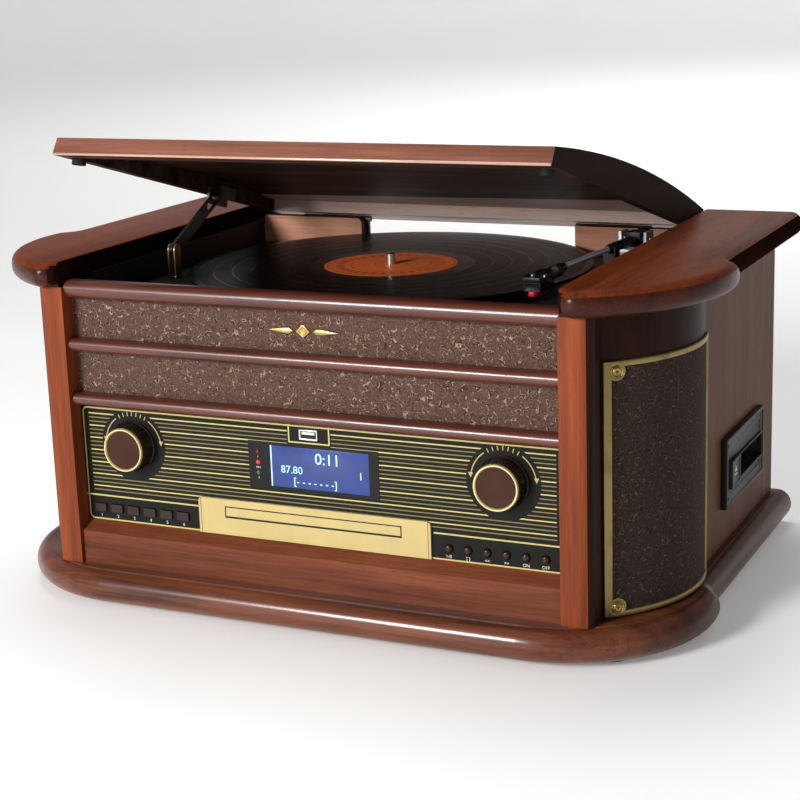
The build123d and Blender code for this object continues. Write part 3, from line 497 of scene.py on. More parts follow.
@dataclass(frozen=True)
class PressedRecord(Finish):
    """Black record with grooves in bands, blank rings between them and a smooth lead-out."""

    middle: Point
    tone: Colour = srgb(6, 6, 6)
    music_edge: float = 62.0
    rim: float = 146.0
    bands: int = 6
    blank: float = 0.7

    def paint(self, graph: Graph) -> bpy.types.Material:
        """Builds the nodes.

        Args:
            graph: The material's node tree.

        Returns:
            The material.
        """
        x, y, _ = graph.axes()
        radius = graph.reach(x - self.middle[0], y - self.middle[1])
        music = (radius > self.music_edge) * (radius < self.rim)
        pitch = (self.rim - self.music_edge) / self.bands
        gaps = ((radius - self.music_edge).repeat(pitch) < self.blank) * music
        ripple = (radius * 9.0).repeat(1.0) * 2.0
        slow = graph.noise(20, 2, 0.5) * 0.3 + (radius * 0.35).repeat(1.0)
        grooved = music * (1 - gaps)
        # Painted sheen: the blank rings between the bands are coloured lighter than the grooved vinyl.
        return graph.finish(Base_Color=graph.mix(gaps * 0.5, self.tone, shade(self.tone, 1.5)),
                            Roughness=grooved * (slow * 0.08 + 0.06) + 0.22, Specular_IOR_Level=0.09,
                            Normal=graph.bump(ripple * grooved, 0.14, 0.00005))


@dataclass(frozen=True)
class PaperLabel(Finish):
    """A round paper label with a fan of short rays between printed rings."""

    middle: Point
    tone: Colour
    ink: Colour
    edge_ring: float = 47.5
    rings: tuple[float, ...] = (30.0, 12.0)
    fan: float = 38.0
    fan_half: float = 3.2

    def paint(self, graph: Graph) -> bpy.types.Material:
        """Builds the nodes.

        Args:
            graph: The material's node tree.

        Returns:
            The material.
        """
        x, y, _ = graph.axes()
        across, along = x - self.middle[0], y - self.middle[1]
        radius = graph.reach(across, along)
        ink = abs(radius - self.edge_ring) < 0.35
        for ring in self.rings:
            ink = ink.most(abs(radius - ring) < 0.3)
        rays = (graph.math("ARCTAN2", along, across) * 12.0).repeat(2.2) < 0.42
        fan = (abs(radius - self.fan) < self.fan_half) * rays * 0.7
        fibres = graph.noise(900, 3, 0.6)
        colour = graph.clouded(fibres, self.tone, 0.85, 1.1)
        return graph.finish(Base_Color=graph.mix(ink.most(fan), colour, self.ink), Roughness=0.55,
                            Normal=graph.bump(fibres, 0.15))


@dataclass(frozen=True)
class PinstripePanel(Finish):
    """A black front panel with a gold border, gold and dim lines, and arcs and ticks round its knobs."""

    ground: Colour = srgb(14, 15, 11)
    gold: Colour = srgb(196, 180, 116)
    half_width: float = 184.2
    bottom: float = 58.8
    top: float = 142.6
    corner: float = 3.5
    line: float = 0.55
    divider_z: float = 76.8
    divider_from: float = 91.6
    pitch: float = 9.06
    first: float = 84.1
    lined_bottom: float = 79.0
    lined_top: float = 140.9
    lined_half: float = 179.5
    knob_x: float = 142.7
    knob_z: float = 117.0
    clear_disc: float = 26.5
    arc: float = 23.2
    port_half: float = 15.5
    port_bottom: float = 130.9

    def border(self, side: Value, z: Value) -> Value:
        """The line of the rounded frame.

        Args:
            side: Distance from the middle, left or right.
            z: Height.

        Returns:
            1 on the line.
        """
        half = (self.top - self.bottom) / 2
        rise = abs(z - (self.bottom + half))
        out_x = (side - (self.half_width - self.corner)).most(0.0)
        out_z = (rise - (half - self.corner)).most(0.0)
        rounded = side.graph.math("SQRT", out_x * out_x + out_z * out_z) - self.corner
        return abs(rounded.most((side - self.half_width).most(rise - half))) < self.line

    def dial(self, side: Value, z: Value, near: Value) -> Value:
        """The arc round a knob, its arrowheads and the ticks in its gap.

        Args:
            side: Distance from the middle, left or right.
            z: Height.
            near: Distance from the knob's axis.

        Returns:
            1 on the print.
        """
        turn = abs(side.graph.math("ARCTAN2", side - self.knob_x, z - self.knob_z))
        off = abs(near - self.arc)
        sweep = (off < 0.36) * (turn > 0.62) * (turn < 1.42)
        ticks = (off < 1.5) * (turn < 0.56) * (turn.repeat(0.16) * near < 0.32)
        drop = z - (self.knob_z + 1.2)
        heads = (abs(abs(side - self.knob_x) - self.arc) < drop * 0.5) * (drop < 3.6)
        return sweep.most(ticks).most(heads)

    def stripes(self, side: Value, z: Value, near: Value, port: Value) -> Value:
        """The bold and the dim lines, clear of the knobs and the port.

        Args:
            side: Distance from the middle, left or right.
            z: Height.
            near: Distance from the knob's axis.
            port: Distance outside the port's box.

        Returns:
            How gold the lines are.
        """
        lined = ((side < self.lined_half) * (z > self.lined_bottom) * (z < self.lined_top)
                 * (near > self.clear_disc) * (port > 1.4))
        step = z - self.first
        bold = step.repeat(self.pitch) < 0.45
        return lined * bold.most((step.repeat(self.pitch / 3) < 0.42) * 0.34)

    def paint(self, graph: Graph) -> bpy.types.Material:
        """Builds the nodes.

        Args:
            graph: The material's node tree.

        Returns:
            The material.
        """
        x, _, z = graph.axes()
        side = abs(x)
        near = graph.reach(side - self.knob_x, z - self.knob_z)
        port = (side - self.port_half).most(self.port_bottom - z)
        divider = (abs(z - self.divider_z) < self.line) * (side > self.divider_from)
        ink = self.border(side, z).most(divider).most(self.stripes(side, z, near, port))
        ink = ink.most(self.dial(side, z, near) * 0.85).most(abs(port) < 0.5) * (z < self.top + 1)
        wear = graph.noise(160, 4, 0.6)
        grain = graph.noise(2200, 2, 0.5)
        return graph.finish(Base_Color=graph.mix(ink * (wear * 0.3 + 0.82), self.ground, self.gold),
                            Roughness=wear * 0.14 + 0.34, Specular_IOR_Level=0.16, Metallic=ink * 0.2,
                            Normal=graph.bump(grain + ink * 2, 0.12))


@dataclass(frozen=True)
class DrawerPlate(Finish):
    """Pale gold brushed sheet with a pressed line just inside its two ends, coloured dark brown as painted
    shade.
    """

    tone: Colour = srgb(190, 170, 114)
    # The dark brown of the painted shade in the pressed line.
    ink: Colour = srgb(74, 50, 26)
    line_x: float = 88.2

    def paint(self, graph: Graph) -> bpy.types.Material:
        """Builds the nodes.

        Args:
            graph: The material's node tree.

        Returns:
            The material.
        """
        pressed = abs(abs(graph.axes()[0]) - self.line_x) < 0.28
        brushed = graph.noise((25, 2400, 2400), 2, 0.6)
        colour = graph.clouded(graph.noise(40, 3, 0.5), self.tone, 0.93, 1.06)
        # Painted shade: the pressed line is coloured dark brown.
        return graph.finish(Base_Color=graph.mix(pressed * 0.75, colour, self.ink), Metallic=0.35,
                            Roughness=brushed * 0.16 + 0.34, Specular_IOR_Level=0.3,
                            Normal=graph.bump(brushed * 0.3 - pressed, 0.3))


class Stain(Enum):
    """The stained woods of the case, with lighter and darker copies that carry painted light and painted
    shade.
    """

    # Beyond 226 mm from the middle the plinth is darker and duller: painted shade at its ends.
    PLINTH = StainedWood("stain_plinth", srgb(64, 29, 17), srgb(122, 66, 40), Way.X, 0.32, 0.42, 0.2,
                         1.0, 226.0)
    STILE = StainedWood("stain_stile", srgb(98, 41, 16), srgb(144, 67, 31), Way.Z, 0.44, 0.04)
    WING = StainedWood("stain_wing", srgb(76, 30, 12), srgb(122, 57, 27), Way.Y, 0.4, 0.0, 0.04)
    # Painted shade: a near-black copy of the wing wood for the wings' sides and the faces that look into the
    # well.
    WING_EDGE = StainedWood("stain_wing_edge", srgb(22, 11, 8), srgb(42, 22, 15), Way.Y, 0.55, 0.0, 0.0)
    # Painted shade: a darker, glossier copy of the wing wood for the wings' front faces.
    NOSE = StainedWood("stain_nose", srgb(44, 17, 10), srgb(80, 34, 21), Way.X, 0.3, 0.1, 0.14)
    RAIL = StainedWood("stain_rail", srgb(58, 25, 16), srgb(102, 48, 33), Way.X, 0.31, 0.2, 0.5)
    KICK = StainedWood("stain_kick", srgb(72, 31, 17), srgb(120, 64, 40), Way.X, 0.42, 0.03)
    # Near-black wood: the corner blocks' own dark tone deepened with painted shade, and painted shade on the
    # stiles' outer faces.
    CORNER = StainedWood("stain_corner", srgb(24, 10, 6), srgb(50, 23, 14), Way.Z, 0.4, 0.0, 0.08)
    SIDE = StainedWood("stain_side", srgb(66, 36, 20), srgb(112, 70, 44), Way.Z, 0.5, 0.0, 0.12)
    # Painted light: a pale copy for the faces of the back panel that look forward, lit from the front.
    POST = StainedWood("stain_post", srgb(176, 114, 90), srgb(222, 164, 134), Way.X, 0.55, 0.0)
    LID = StainedWood("stain_lid", srgb(92, 50, 34), srgb(134, 84, 62), Way.X, 0.34, 0.08, 0.3)
    LID_FRONT = StainedWood("stain_lid_front", srgb(95, 53, 38), srgb(141, 91, 72), Way.X, 0.3, 0.16, 0.42)
    # Painted highlight: a pale, fully coated copy of the lid wood for the bead on its lower front edge.
    BEAD = StainedWood("stain_bead", srgb(158, 114, 96), srgb(204, 162, 142), Way.X, 0.24, 1.0, 0.5)
    # Painted shade: a near-black copy of the lid's wood for its sides.
    LID_SIDE = StainedWood("stain_lid_side", srgb(22, 11, 7), srgb(44, 23, 15), Way.Y, 0.6, 0.0, 0.02)
    LID_UNDER = StainedWood("stain_lid_under", srgb(26, 14, 10), srgb(86, 62, 52), Way.X, 0.55, 0.0, 0.08,
                            1.5)
    # Painted light: a pale copy for the forward face of the lid's rear wall and its lower edge.
    BATTEN = StainedWood("stain_batten", srgb(206, 176, 162), srgb(240, 214, 202), Way.X, 0.5, 0.0)


class Make(Enum):
    """The finishes that aren't wood."""

    BOARD = Board("pressed_board", srgb(112, 84, 58), srgb(60, 42, 28))
    CIRCUIT = Board("circuit_board", srgb(38, 92, 48), srgb(190, 180, 120), 0.5)
    CLOTH = CurledCloth("grille_cloth", srgb(88, 64, 55), srgb(158, 128, 108))
    # Painted shade: a darker copy of the grille cloth for the curved corner cloths.
    CORNER_CLOTH = CurledCloth("corner_cloth", srgb(50, 36, 30), srgb(92, 72, 60))
    RUBBER = Plastic("rubber", srgb(28, 27, 26), 0.75, 0.3)
    BELT = Plastic("belt_rubber", srgb(20, 20, 20), 0.6, 0.2)
    BLACK = Plastic("black_plastic", srgb(22, 21, 21), 0.38, 0.3)
    DECK = Plastic("deck_plastic", srgb(26, 25, 25), 0.5, 0.5)
    BROWN = Plastic("brown_plastic", srgb(58, 30, 24), 0.3, 0.2, 0.2)
    BUTTON = Plastic("button_plastic", srgb(40, 23, 19), 0.24, 0.1, 0.2)
    KNOB_FACE = Plastic("knob_face", srgb(62, 37, 29), 0.36, 0.2, 0.0, 0.1)
    KNOB_SIDE = Plastic("knob_side", srgb(34, 23, 20), 0.26, 0.2, 0.12)
    RING = Metal("knob_ring", srgb(226, 208, 146), 0.3, 0.6, 0.1)
    WHITE_INK = Plastic("white_ink", srgb(214, 210, 196), 0.5, 0.1)
    SCREEN = Glow("screen", srgb(36, 68, 158), 0.9)
    DIGITS = Glow("digits", srgb(176, 226, 255), 1.6)
    RED_LAMP = Glow("red_lamp", srgb(235, 40, 36), 1.3, srgb(90, 10, 10))
    DIM_RED_LAMP = Glow("dim_red_lamp", srgb(110, 22, 20), 0.4, srgb(90, 16, 14))
    GREEN_LAMP = Glow("green_lamp", srgb(70, 90, 66), 0.25, srgb(60, 76, 58))
    RED_TIP = Plastic("red_tip", srgb(196, 26, 34), 0.3, 0.1, 0.3)
    BEZEL = Plastic("bezel_plastic", srgb(34, 29, 27), 0.42, 0.35)
    SOCKET = Plastic("socket_plastic", srgb(60, 58, 60), 0.4, 0.2)
    GLASS = Plastic("display_glass", srgb(14, 15, 13), 0.22, 0.02, 0.0, 0.2)
    STEEL = Metal("bright_steel", srgb(214, 214, 216), 0.3)
    SILVER = Metal("arm_silver", srgb(216, 218, 222), 0.34, 0.55, 0.08)
    JACK_WHITE = Plastic("jack_white", srgb(206, 204, 196), 0.4, 0.15, 0.1)
    JACK_RED = Plastic("jack_red", srgb(176, 28, 26), 0.4, 0.15, 0.1)
    REAR_BOARD = Board("rear_board", srgb(50, 38, 30), srgb(28, 20, 15), 0.72)
    GREY = Metal("grey_metal", srgb(118, 118, 120), 0.38)
    BLACK_METAL = Metal("black_metal", srgb(24, 24, 25), 0.35, 0.5)
    # The stay bracket's grey plate, made lighter as a painted reflection.
    BRACKET = Metal("bracket", srgb(92, 82, 82), 0.45, 0.3)
    BRASS = Metal("antique_brass", srgb(150, 132, 84), 0.4, 0.85, 0.5)
    HINGE = Metal("hinge_brass", srgb(92, 80, 54), 0.45, 0.7, 0.7)
    SCREW = Metal("screw_brass", srgb(176, 150, 92), 0.32, 1.0, 0.4)
    PANEL = PinstripePanel("pinstripe_panel")
    DRAWER = DrawerPlate("drawer_plate")
    RECORD = PressedRecord("record_vinyl", (-6.0, 4.0, 0))
    LABEL = PaperLabel("record_label", (-6.0, 4.0, 0), srgb(222, 104, 44), srgb(104, 36, 14))


NODE_FINISHES: dict[Stain | Make, str] = {
    Stain.PLINTH: "plinth",
    Stain.STILE: "stiles",
    Stain.WING: "wings",
    Stain.RAIL: "front_rails",
    Stain.KICK: "kick_panel",
    Stain.CORNER: "corner_blocks",
    Stain.SIDE: "side_panels",
    Stain.LID: "lid",
    Make.REAR_BOARD: "back_panel",
    Make.BOARD: "grille_board",
    Make.CIRCUIT: "control_board",
    Make.CLOTH: "grille_cloths",
    Make.CORNER_CLOTH: "speaker_cloths",
    Make.BRASS: "speaker_frames",
    Make.HINGE: "lid_hinges hinge_leaves",
    Make.SCREW: "speaker_screws stay_deck_bracket",
    Make.BRACKET: "lid_stay_bracket",
    Make.BLACK_METAL: "stay_arm",
    Make.STEEL: "usb_port spindle motor_pulley tonearm",
    Make.SILVER: "tonearm_yoke",
    Make.GREY: "cd_mechanism platter drive_motor cassette_mechanism power_transformer",
    Make.RUBBER: "feet lid_bumpers",
    Make.BELT: "drive_belt",
    Make.BLACK: "speaker_drivers tonearm_base headshell speed_switch eject_key",
    Make.BROWN: "volume_knob tuning_knob",
    Make.BUTTON: " ".join(f"{row}_button_{i}" for row in ("menu", "play") for i in range(1, 7)),
    Make.DECK: "deck_plate",
    Make.BEZEL: "cassette_bezel",
    Make.SOCKET: "rear_connectors",
    Make.GLASS: "display_window",
    Make.PANEL: "front_panel",
    Make.DRAWER: "cd_plate cd_tray",
    Make.RECORD: "record",
}


# ------------------------------------------------------------------ the bench
class Shape:
    """A piece in the making, in millimetres, shaped with Blender's own operators."""

    def __init__(self, thing: bpy.types.Object) -> None:
        """Takes the object that was just added."""
        self.thing = thing

    @staticmethod
    def rest() -> None:
        """Leaves edit mode and deselects everything."""
        if bpy.context.object and bpy.context.object.mode != "OBJECT":
            bpy.ops.object.mode_set(mode="OBJECT")
        bpy.ops.object.select_all(action="DESELECT")

    @classmethod
    def block(cls, low: Point, high: Point) -> "Shape":
        """A box, to be shaped further.

        Args:
            low: Its corner at the left, front and bottom.
            high: The opposite corner.

        Returns:
            The box.
        """
        cls.rest()
        middle = [(a + b) / 2 for a, b in zip(low, high)]
        bpy.ops.mesh.primitive_cube_add(size=1, location=middle, scale=[b - a for a, b in zip(low, high)])
        return cls(bpy.context.object).settle()

    @classmethod
    def rod(cls, radius: float, start: Point, end: Point, sides: int) -> "Shape":
        """A round rod between two points, to be shaped further.

        Args:
            radius: Its radius.
            start: The middle of its first end.
            end: The middle of its other end.
            sides: How many sides the round has.

        Returns:
            The rod.
        """
        cls.rest()
        one, two = Vector(start), Vector(end)
        turn = (two - one).to_track_quat("Z", "Y").to_euler()
        bpy.ops.mesh.primitive_cone_add(vertices=sides, radius1=radius, radius2=radius,
                                        depth=(two - one).length, location=(one + two) / 2, rotation=turn)
        return cls(bpy.context.object).settle()

    @classmethod
    def drawn(cls, points: Sequence[Point]) -> "Shape":
        """A line drawn by extruding one vertex from point to point.

        Args:
            points: The points.

        Returns:
            The line.
        """
        cls.rest()
        bpy.ops.mesh.primitive_plane_add(size=1, location=points[0])
        made = cls(bpy.context.object).settle()
        with made:
            bpy.ops.mesh.select_mode(type="VERT")
            bpy.ops.mesh.select_all(action="SELECT")
            bpy.ops.mesh.merge(type="CENTER")
        with made:
            for one, two in zip(points, points[1:]):
                cls.extrude(Vector(two) - Vector(one))
            bpy.ops.mesh.select_all(action="SELECT")
        return made

    @classmethod
    def plate(cls, points: Sequence[Point], depth: Point) -> "Shape":
        """A plate with a drawn outline.

        Args:
            points: The outline's points, on one face.
            depth: How far the other face is pushed out.

        Returns:
            The plate.
        """
        made = cls.drawn(points)
        with made:
            bpy.ops.mesh.edge_face_add()
        with made:
            bpy.ops.mesh.select_all(action="SELECT")
            cls.extrude(depth)
        return made.clean()

    @classmethod
    def lathe(cls, profile: Profile, centre: Point, axis: Way, steps: int = 48) -> "Shape":
        """A round piece spun from half its section.

        Args:
            profile: Radius and place along the axis, from one end to the other.
            centre: A point on the axis, which profile places count from.
            axis: The axis.
            steps: How many sides the round has.

        Returns:
            The closed round piece.
        """
        out = Vector((0, 1, 0)) if axis is Way.X else Vector((1, 0, 0))
        along = Vector([1.0 if way is axis else 0.0 for way in Way])
        made = cls.drawn([Vector(centre) + out * radius + along * place for radius, place in profile])
        with made:
            bpy.ops.mesh.spin(steps=steps, angle=math.tau, center=centre, axis=along)
        return made.clean()

    @classmethod
    def words(cls, text: str, height: float, at: Point, turn: Point = (90, 0, 0),
              depth: float = 0.12) -> "Shape":
        """Raised figures or signs, centred on a point.

        Args:
            text: What they say.
            height: How tall they are.
            at: The middle of their lower edge.
            turn: How they are turned, in degrees; as it is, they face the front.
            depth: How far they stand out.

        Returns:
            The figures as one mesh.
        """
        cls.rest()
        bpy.ops.object.text_add()
        thing = bpy.context.object
        thing.data.body, thing.data.size, thing.data.extrude = text, height / 0.7, depth / 2
        thing.data.align_x, thing.data.resolution_u = "CENTER", 3
        bpy.ops.object.convert(target="MESH")
        thing.rotation_euler = [math.radians(a) for a in turn]
        thing.location = at
        return cls(thing).settle()

    @classmethod
    def union(cls, parts: Sequence["Shape"]) -> "Shape":
        """Several shapes as one, in the first one's object."""
        return parts[0].join(*parts[1:])

    def active(self) -> "Shape":
        """Selects this object alone.

        Returns:
            This shape.
        """
        self.rest()
        self.thing.select_set(True)
        bpy.context.view_layer.objects.active = self.thing
        return self

    def settle(self) -> "Shape":
        """Puts the object's place, turn and size into its mesh.

        Returns:
            This shape.
        """
        self.active()
        bpy.ops.object.transform_apply(location=True, rotation=True, scale=True)
        return self

    def __enter__(self) -> "Shape":
        """Goes into edit mode.

        Returns:
            This shape.
        """
        self.active()
        bpy.ops.object.mode_set(mode="EDIT")
        return self

    def __exit__(self, *problem: object) -> None:
        """Goes back to object mode."""
        bpy.ops.object.mode_set(mode="OBJECT")

    def pick(self, test: Test, kind: str = "FACE") -> "Shape":
        """Selects faces or edges by place and normal, in edit mode.

        Args:
            test: Takes the middle and the normal (an edge's is its direction).
            kind: FACE or EDGE.

        Returns:
            This shape.
        """
        bpy.ops.mesh.select_mode(type=kind)
        bpy.ops.mesh.select_all(action="DESELECT")
        mesh = bmesh.from_edit_mesh(self.thing.data)
        if kind == "FACE":
            for face in mesh.faces:
                face.select_set(bool(test(face.calc_center_median(), face.normal)))
        else:
            for edge in mesh.edges:
                one, two = (v.co for v in edge.verts)
                edge.select_set(bool(test((one + two) / 2, (two - one).normalized())))
        mesh.select_flush_mode()
        bmesh.update_edit_mesh(self.thing.data)
        return self

    @staticmethod
    def extrude(step: Point) -> None:
        """Extrudes the picked part of the mesh, in edit mode."""
        bpy.ops.mesh.extrude_region_move(TRANSFORM_OT_translate={"value": Vector(step)})

    def panelled(self, way: Point, *rings: tuple[float, float]) -> "Shape":
        """Insets the faces that look one way, ring by ring.

        Args:
            way: The direction that they look in.
            *rings: A thickness and a depth for each ring.

        Returns:
            This shape.
        """
        with self:
            self.pick(lambda at, normal: normal.dot(Vector(way)) > 0.9)
            for thickness, depth in rings:
                bpy.ops.mesh.inset(thickness=thickness, depth=depth, use_even_offset=True)
        return self

    def modifier(self, kind: str, **settings: object) -> "Shape":
        """Adds a modifier and applies it.

        Args:
            kind: The modifier's type.
            **settings: Its settings.

        Returns:
            This shape.
        """
        self.active()
        made = self.thing.modifiers.new(kind.title(), kind)
        for key, value in settings.items():
            setattr(made, key, value)
        bpy.ops.object.modifier_apply(modifier=made.name)
        return self

    def rounded(self, width: float, segments: int = 3, angle: float = 30) -> "Shape":
        """Rounds every edge sharper than an angle."""
        return self.modifier("BEVEL", width=width, segments=segments, limit_method="ANGLE",
                             angle_limit=math.radians(angle), harden_normals=False)

    def cut(self, low: Point, high: Point) -> "Shape":
        """Cuts a box out of this shape.

        Args:
            low: The box's corner at the left, front and bottom.
            high: The opposite corner.

        Returns:
            This shape.
        """
        cutter = Shape.block(low, high)
        self.modifier("BOOLEAN", operation="DIFFERENCE", object=cutter.thing, solver="EXACT")
        bpy.data.objects.remove(cutter.thing)
        return self

    def clean(self) -> "Shape":
        """Merges doubles and points every face outwards.

        Returns:
            This shape.
        """
        with self:
            bpy.ops.mesh.select_all(action="SELECT")
            bpy.ops.mesh.remove_doubles(threshold=0.001)
            bpy.ops.mesh.normals_make_consistent(inside=False)
        return self

    def copy(self, move: Point = (0, 0, 0), size: Point = (1, 1, 1)) -> "Shape":
        """A copy with its own mesh.

        Args:
            move: How far it is moved.
            size: How it is scaled.

        Returns:
            The copy.
        """
        self.active()
        bpy.ops.object.duplicate(linked=False)
        made = Shape(bpy.context.object)
        made.thing.location, made.thing.scale = move, size
        return made.settle()

    def mirrored(self) -> "Shape":
        """A copy on the other side of the cabinet.

        Returns:
            The copy.
        """
        made = self.copy(size=(-1, 1, 1))
        with made:
            bpy.ops.mesh.select_all(action="SELECT")
            bpy.ops.mesh.normals_make_consistent(inside=False)
        return made

    def turned(self, degrees: float, axis: Way, about: Point) -> "Shape":
        """Turns this shape about a point.

        Args:
            degrees: How far it is turned.
            axis: The axis.
            about: A point on the axis.

        Returns:
            This shape.
        """
        spin = Matrix.Rotation(math.radians(degrees), 4, axis.name)
        place = Matrix.Translation(Vector(about)) @ spin @ Matrix.Translation(-Vector(about))
        self.thing.matrix_world = place @ self.thing.matrix_world
        return self.settle()

    def join(self, *others: "Shape") -> "Shape":
        """Takes other shapes into this one.

        Args:
            *others: The other shapes.

        Returns:
            This shape.
        """
        self.active()
        for other in others:
            other.thing.select_set(True)
        bpy.ops.object.join()
        return self

    def paint(self, finish: Stain | Make, test: Test | None = None) -> "Shape":
        """Gives all faces, or those that pass a test, a finish.

        Args:
            finish: The finish.
            test: Takes a face's middle and its normal.

        Returns:
            This shape.
        """
        made = finish.value.material()
        slots = self.thing.data.materials
        if made.name not in slots:
            slots.append(made)
        index = list(slots).index(made)
        for face in self.thing.data.polygons:
            if test is None or test(face.center, face.normal):
                face.material_index = index
        return self

    def done(self, name: str, body: str, slot: str, replaces: Iterable[str] = (), angle: float = 32) -> None:
        """Names the piece, turns it into metres and hands it to its body.

        Args:
            name: The piece's name.
            body: The body that it rides on.
            slot: The record's material slot; not used.
            replaces: The nodes that it stands for.
            angle: Edges sharper than this stay sharp.
        """
        self.active()
        self.thing.scale = (MM, MM, MM)
        bpy.ops.object.transform_apply(location=False, rotation=False, scale=True)
        bpy.ops.object.shade_smooth_by_angle(angle=math.radians(angle))
        self.thing.name = self.thing.data.name = name
        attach(self.thing, body) or self.thing
        if replaces:
            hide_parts(*replaces)
        log.info("%s: %d faces, on %s", name, len(self.thing.data.polygons), body)


# ------------------------------------------------------------------ the frame's own nodes
def under(at: Vector, way: Vector) -> bool:
    """Tells the lid's underside and its inner faces from its show faces."""
    inside = abs(at.x) < 0.182 and at.y > -0.155 and way.z < 0.5
    return way.z < -0.35 or (inside and abs(way.x) > 0.5) or (inside and way.y > 0.3 and at.y < 0.1)


def beside(at: Vector, way: Vector) -> bool:
    """Tells the faces that look left or right."""
    return abs(way.x) > 0.7


def forward(at: Vector, way: Vector) -> bool:
    """Tells the faces that look to the front."""
    return way.y < -0.7


def outward(at: Vector, way: Vector) -> bool:
    """Tells the faces that look away from the middle, left or right."""
    return way.x * at.x > 0 and abs(way.x) > 0.55


def behind_door(at: Vector, way: Vector) -> bool:
    """Tells the disc tray's own faces from its door's."""
    return at.y > -0.1478


def inner_rear(at: Vector, way: Vector) -> bool:
    """Tells the face of the lid's rear wall that looks forward, and its lower edge."""
    return at.y > 0.1 and abs(at.x) < 0.1835 and (way.y < -0.7 or way.z < -0.7)


FACE_FINISHES: dict[str, tuple[tuple[Stain | Make, Test], ...]] = {
    # Painted shade on the lid's sides.
    "lid": ((Stain.LID_FRONT, forward), (Stain.LID_SIDE, beside), (Stain.LID_UNDER, under),
            # Painted light on the forward face of the lid's rear wall.
            (Stain.BATTEN, inner_rear)),
    # Painted light on the back panel's faces that look forward.
    "back_panel": ((Stain.POST, forward),),
    "cd_tray": ((Make.BLACK, behind_door),),
    # Painted shade on the stiles' faces that look outward.
    "stiles": ((Stain.CORNER, outward),),
}


def dress_nodes() -> None:
    """Gives every node of the frame its finish, and some of a node's faces their own."""
    finish_of = {name: finish for finish, names in NODE_FINISHES.items() for name in names.split()}
    for name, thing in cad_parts.items():
        slots = thing.data.materials
        slots.clear()
        slots.append(finish_of[name].value.material())
        for finish, test in FACE_FINISHES.get(name, ()):
            slots.append(finish.value.material())
            for face in thing.data.polygons:
                if test(face.center, face.normal):
                    face.material_index = len(slots) - 1
    log.info("dressed %d nodes", len(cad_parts))


@dataclass
class Studio:
    """A pale floor, soft lights and the camera."""

    lens: float = 82.1
    sensor: float = 36.0
    yaw: float = 25.35
    pitch: float = 14.25
    roll: float = -1.97
    place: Point = (572.0, -1208.7, 464.7)
    pale: Colour = srgb(240, 240, 240)
    lift: float = 0.2
    dish: Profile = ((0, 0), (6000, 0), (6500, 40), (6900, 180), (7200, 450), (7400, 850), (7500, 1500))
    sky: Colour = (1.0, 0.985, 0.97, 1.0)
    sky_strength: float = 0.28
    subject: Point = (0, 0, 0.15)
    distance: Point = (0, 5, 0.5)

    def floor(self) -> None:
        """Builds the floor as a wide dish with a swept-up rim."""
        ground = Shape.lathe(self.dish, (0, 0, 0), Way.Z, 96).active()
        bpy.ops.object.shade_smooth()
        ground.thing.scale = (MM, MM, MM)
        bpy.ops.object.transform_apply(scale=True)
        graph = Graph("studio_floor")
        cloud = graph.noise(3, 3, 0.5)
        ground.thing.data.materials.append(graph.finish(
            Base_Color=graph.clouded(cloud, self.pale, 0.97, 1.0), Roughness=cloud * 0.1 + 0.5,
            Emission_Color=self.pale, Emission_Strength=self.lift))
        ground.thing.name = "studio_floor"

    def lamp(self, name: str, at: Point, aim: Point, size: float, power: float) -> None:
        """Hangs a soft round lamp.

        Args:
            name: Its name.
            at: Its place, in metres.
            aim: The place that it is aimed at.
            size: Its width.
            power: Its power, in watts.
        """
        lamp = bpy.data.lights.new(name, "AREA")
        lamp.shape, lamp.size, lamp.energy = "DISK", size, power
        thing = bpy.data.objects.new(name, lamp)
        bpy.context.scene.collection.objects.link(thing)
        thing.location = at
        thing.rotation_euler = (Vector(aim) - Vector(at)).to_track_quat("-Z", "Y").to_euler()

    def lights(self) -> None:
        """Hangs the lamps and sets the sky."""
        world = bpy.data.worlds.new("studio_sky")
        bpy.context.scene.world = world
        world.use_nodes = True
        back = world.node_tree.nodes["Background"]
        back.inputs["Color"].default_value = self.sky
        back.inputs["Strength"].default_value = self.sky_strength
        self.lamp("key", (-1.0, -2.6, 1.15), self.subject, 0.8, 92)
        self.lamp("top", (-0.4, 0.5, 2.3), self.subject, 1.2, 22)
        self.lamp("backdrop", (0.0, 2.6, 2.4), self.distance, 2.0, 95)

    def camera(self) -> None:
        """Sets up the camera."""
        yaw, pitch, roll = (math.radians(a) for a in (self.yaw, self.pitch, self.roll))
        ahead = Vector((-math.sin(yaw) * math.cos(pitch), math.cos(yaw) * math.cos(pitch), -math.sin(pitch)))
        level = Vector((math.cos(yaw), math.sin(yaw), 0))
        upward = level.cross(ahead)
        right = level * math.cos(roll) + upward * math.sin(roll)
        above = upward * math.cos(roll) - level * math.sin(roll)
        lens = bpy.data.cameras.new("camera")
        lens.lens, lens.sensor_width, lens.sensor_fit = self.lens, self.sensor, "HORIZONTAL"
        lens.clip_start, lens.clip_end = 0.05, 20
        thing = bpy.data.objects.new("camera", lens)
        bpy.context.scene.collection.objects.link(thing)
        turn = Matrix((right, above, -ahead)).transposed().to_4x4()
        thing.matrix_world = Matrix.Translation(Vector(self.place) * MM) @ turn
        bpy.context.scene.camera = thing


# ------------------------------------------------------------------ the pieces
def polar(angle: float) -> Vector:
    """The level direction at an angle, in degrees from +X towards +Y."""
    return Vector((math.cos(math.radians(angle)), math.sin(math.radians(angle)), 0))


def arc(centre: Point, radius: float, start: float, end: float, steps: int) -> list[Vector]:
    """Points on a level arc.

    Args:
        centre: Its middle, at the height of the points.
        radius: Its radius.
        start: The first point's direction, in degrees from +X towards +Y.
        end: The last point's direction.
        steps: How many steps lie between them.

    Returns:
        The points.
    """
    return [Vector(centre) + polar(start + (end - start) * i / steps) * radius for i in range(steps + 1)]


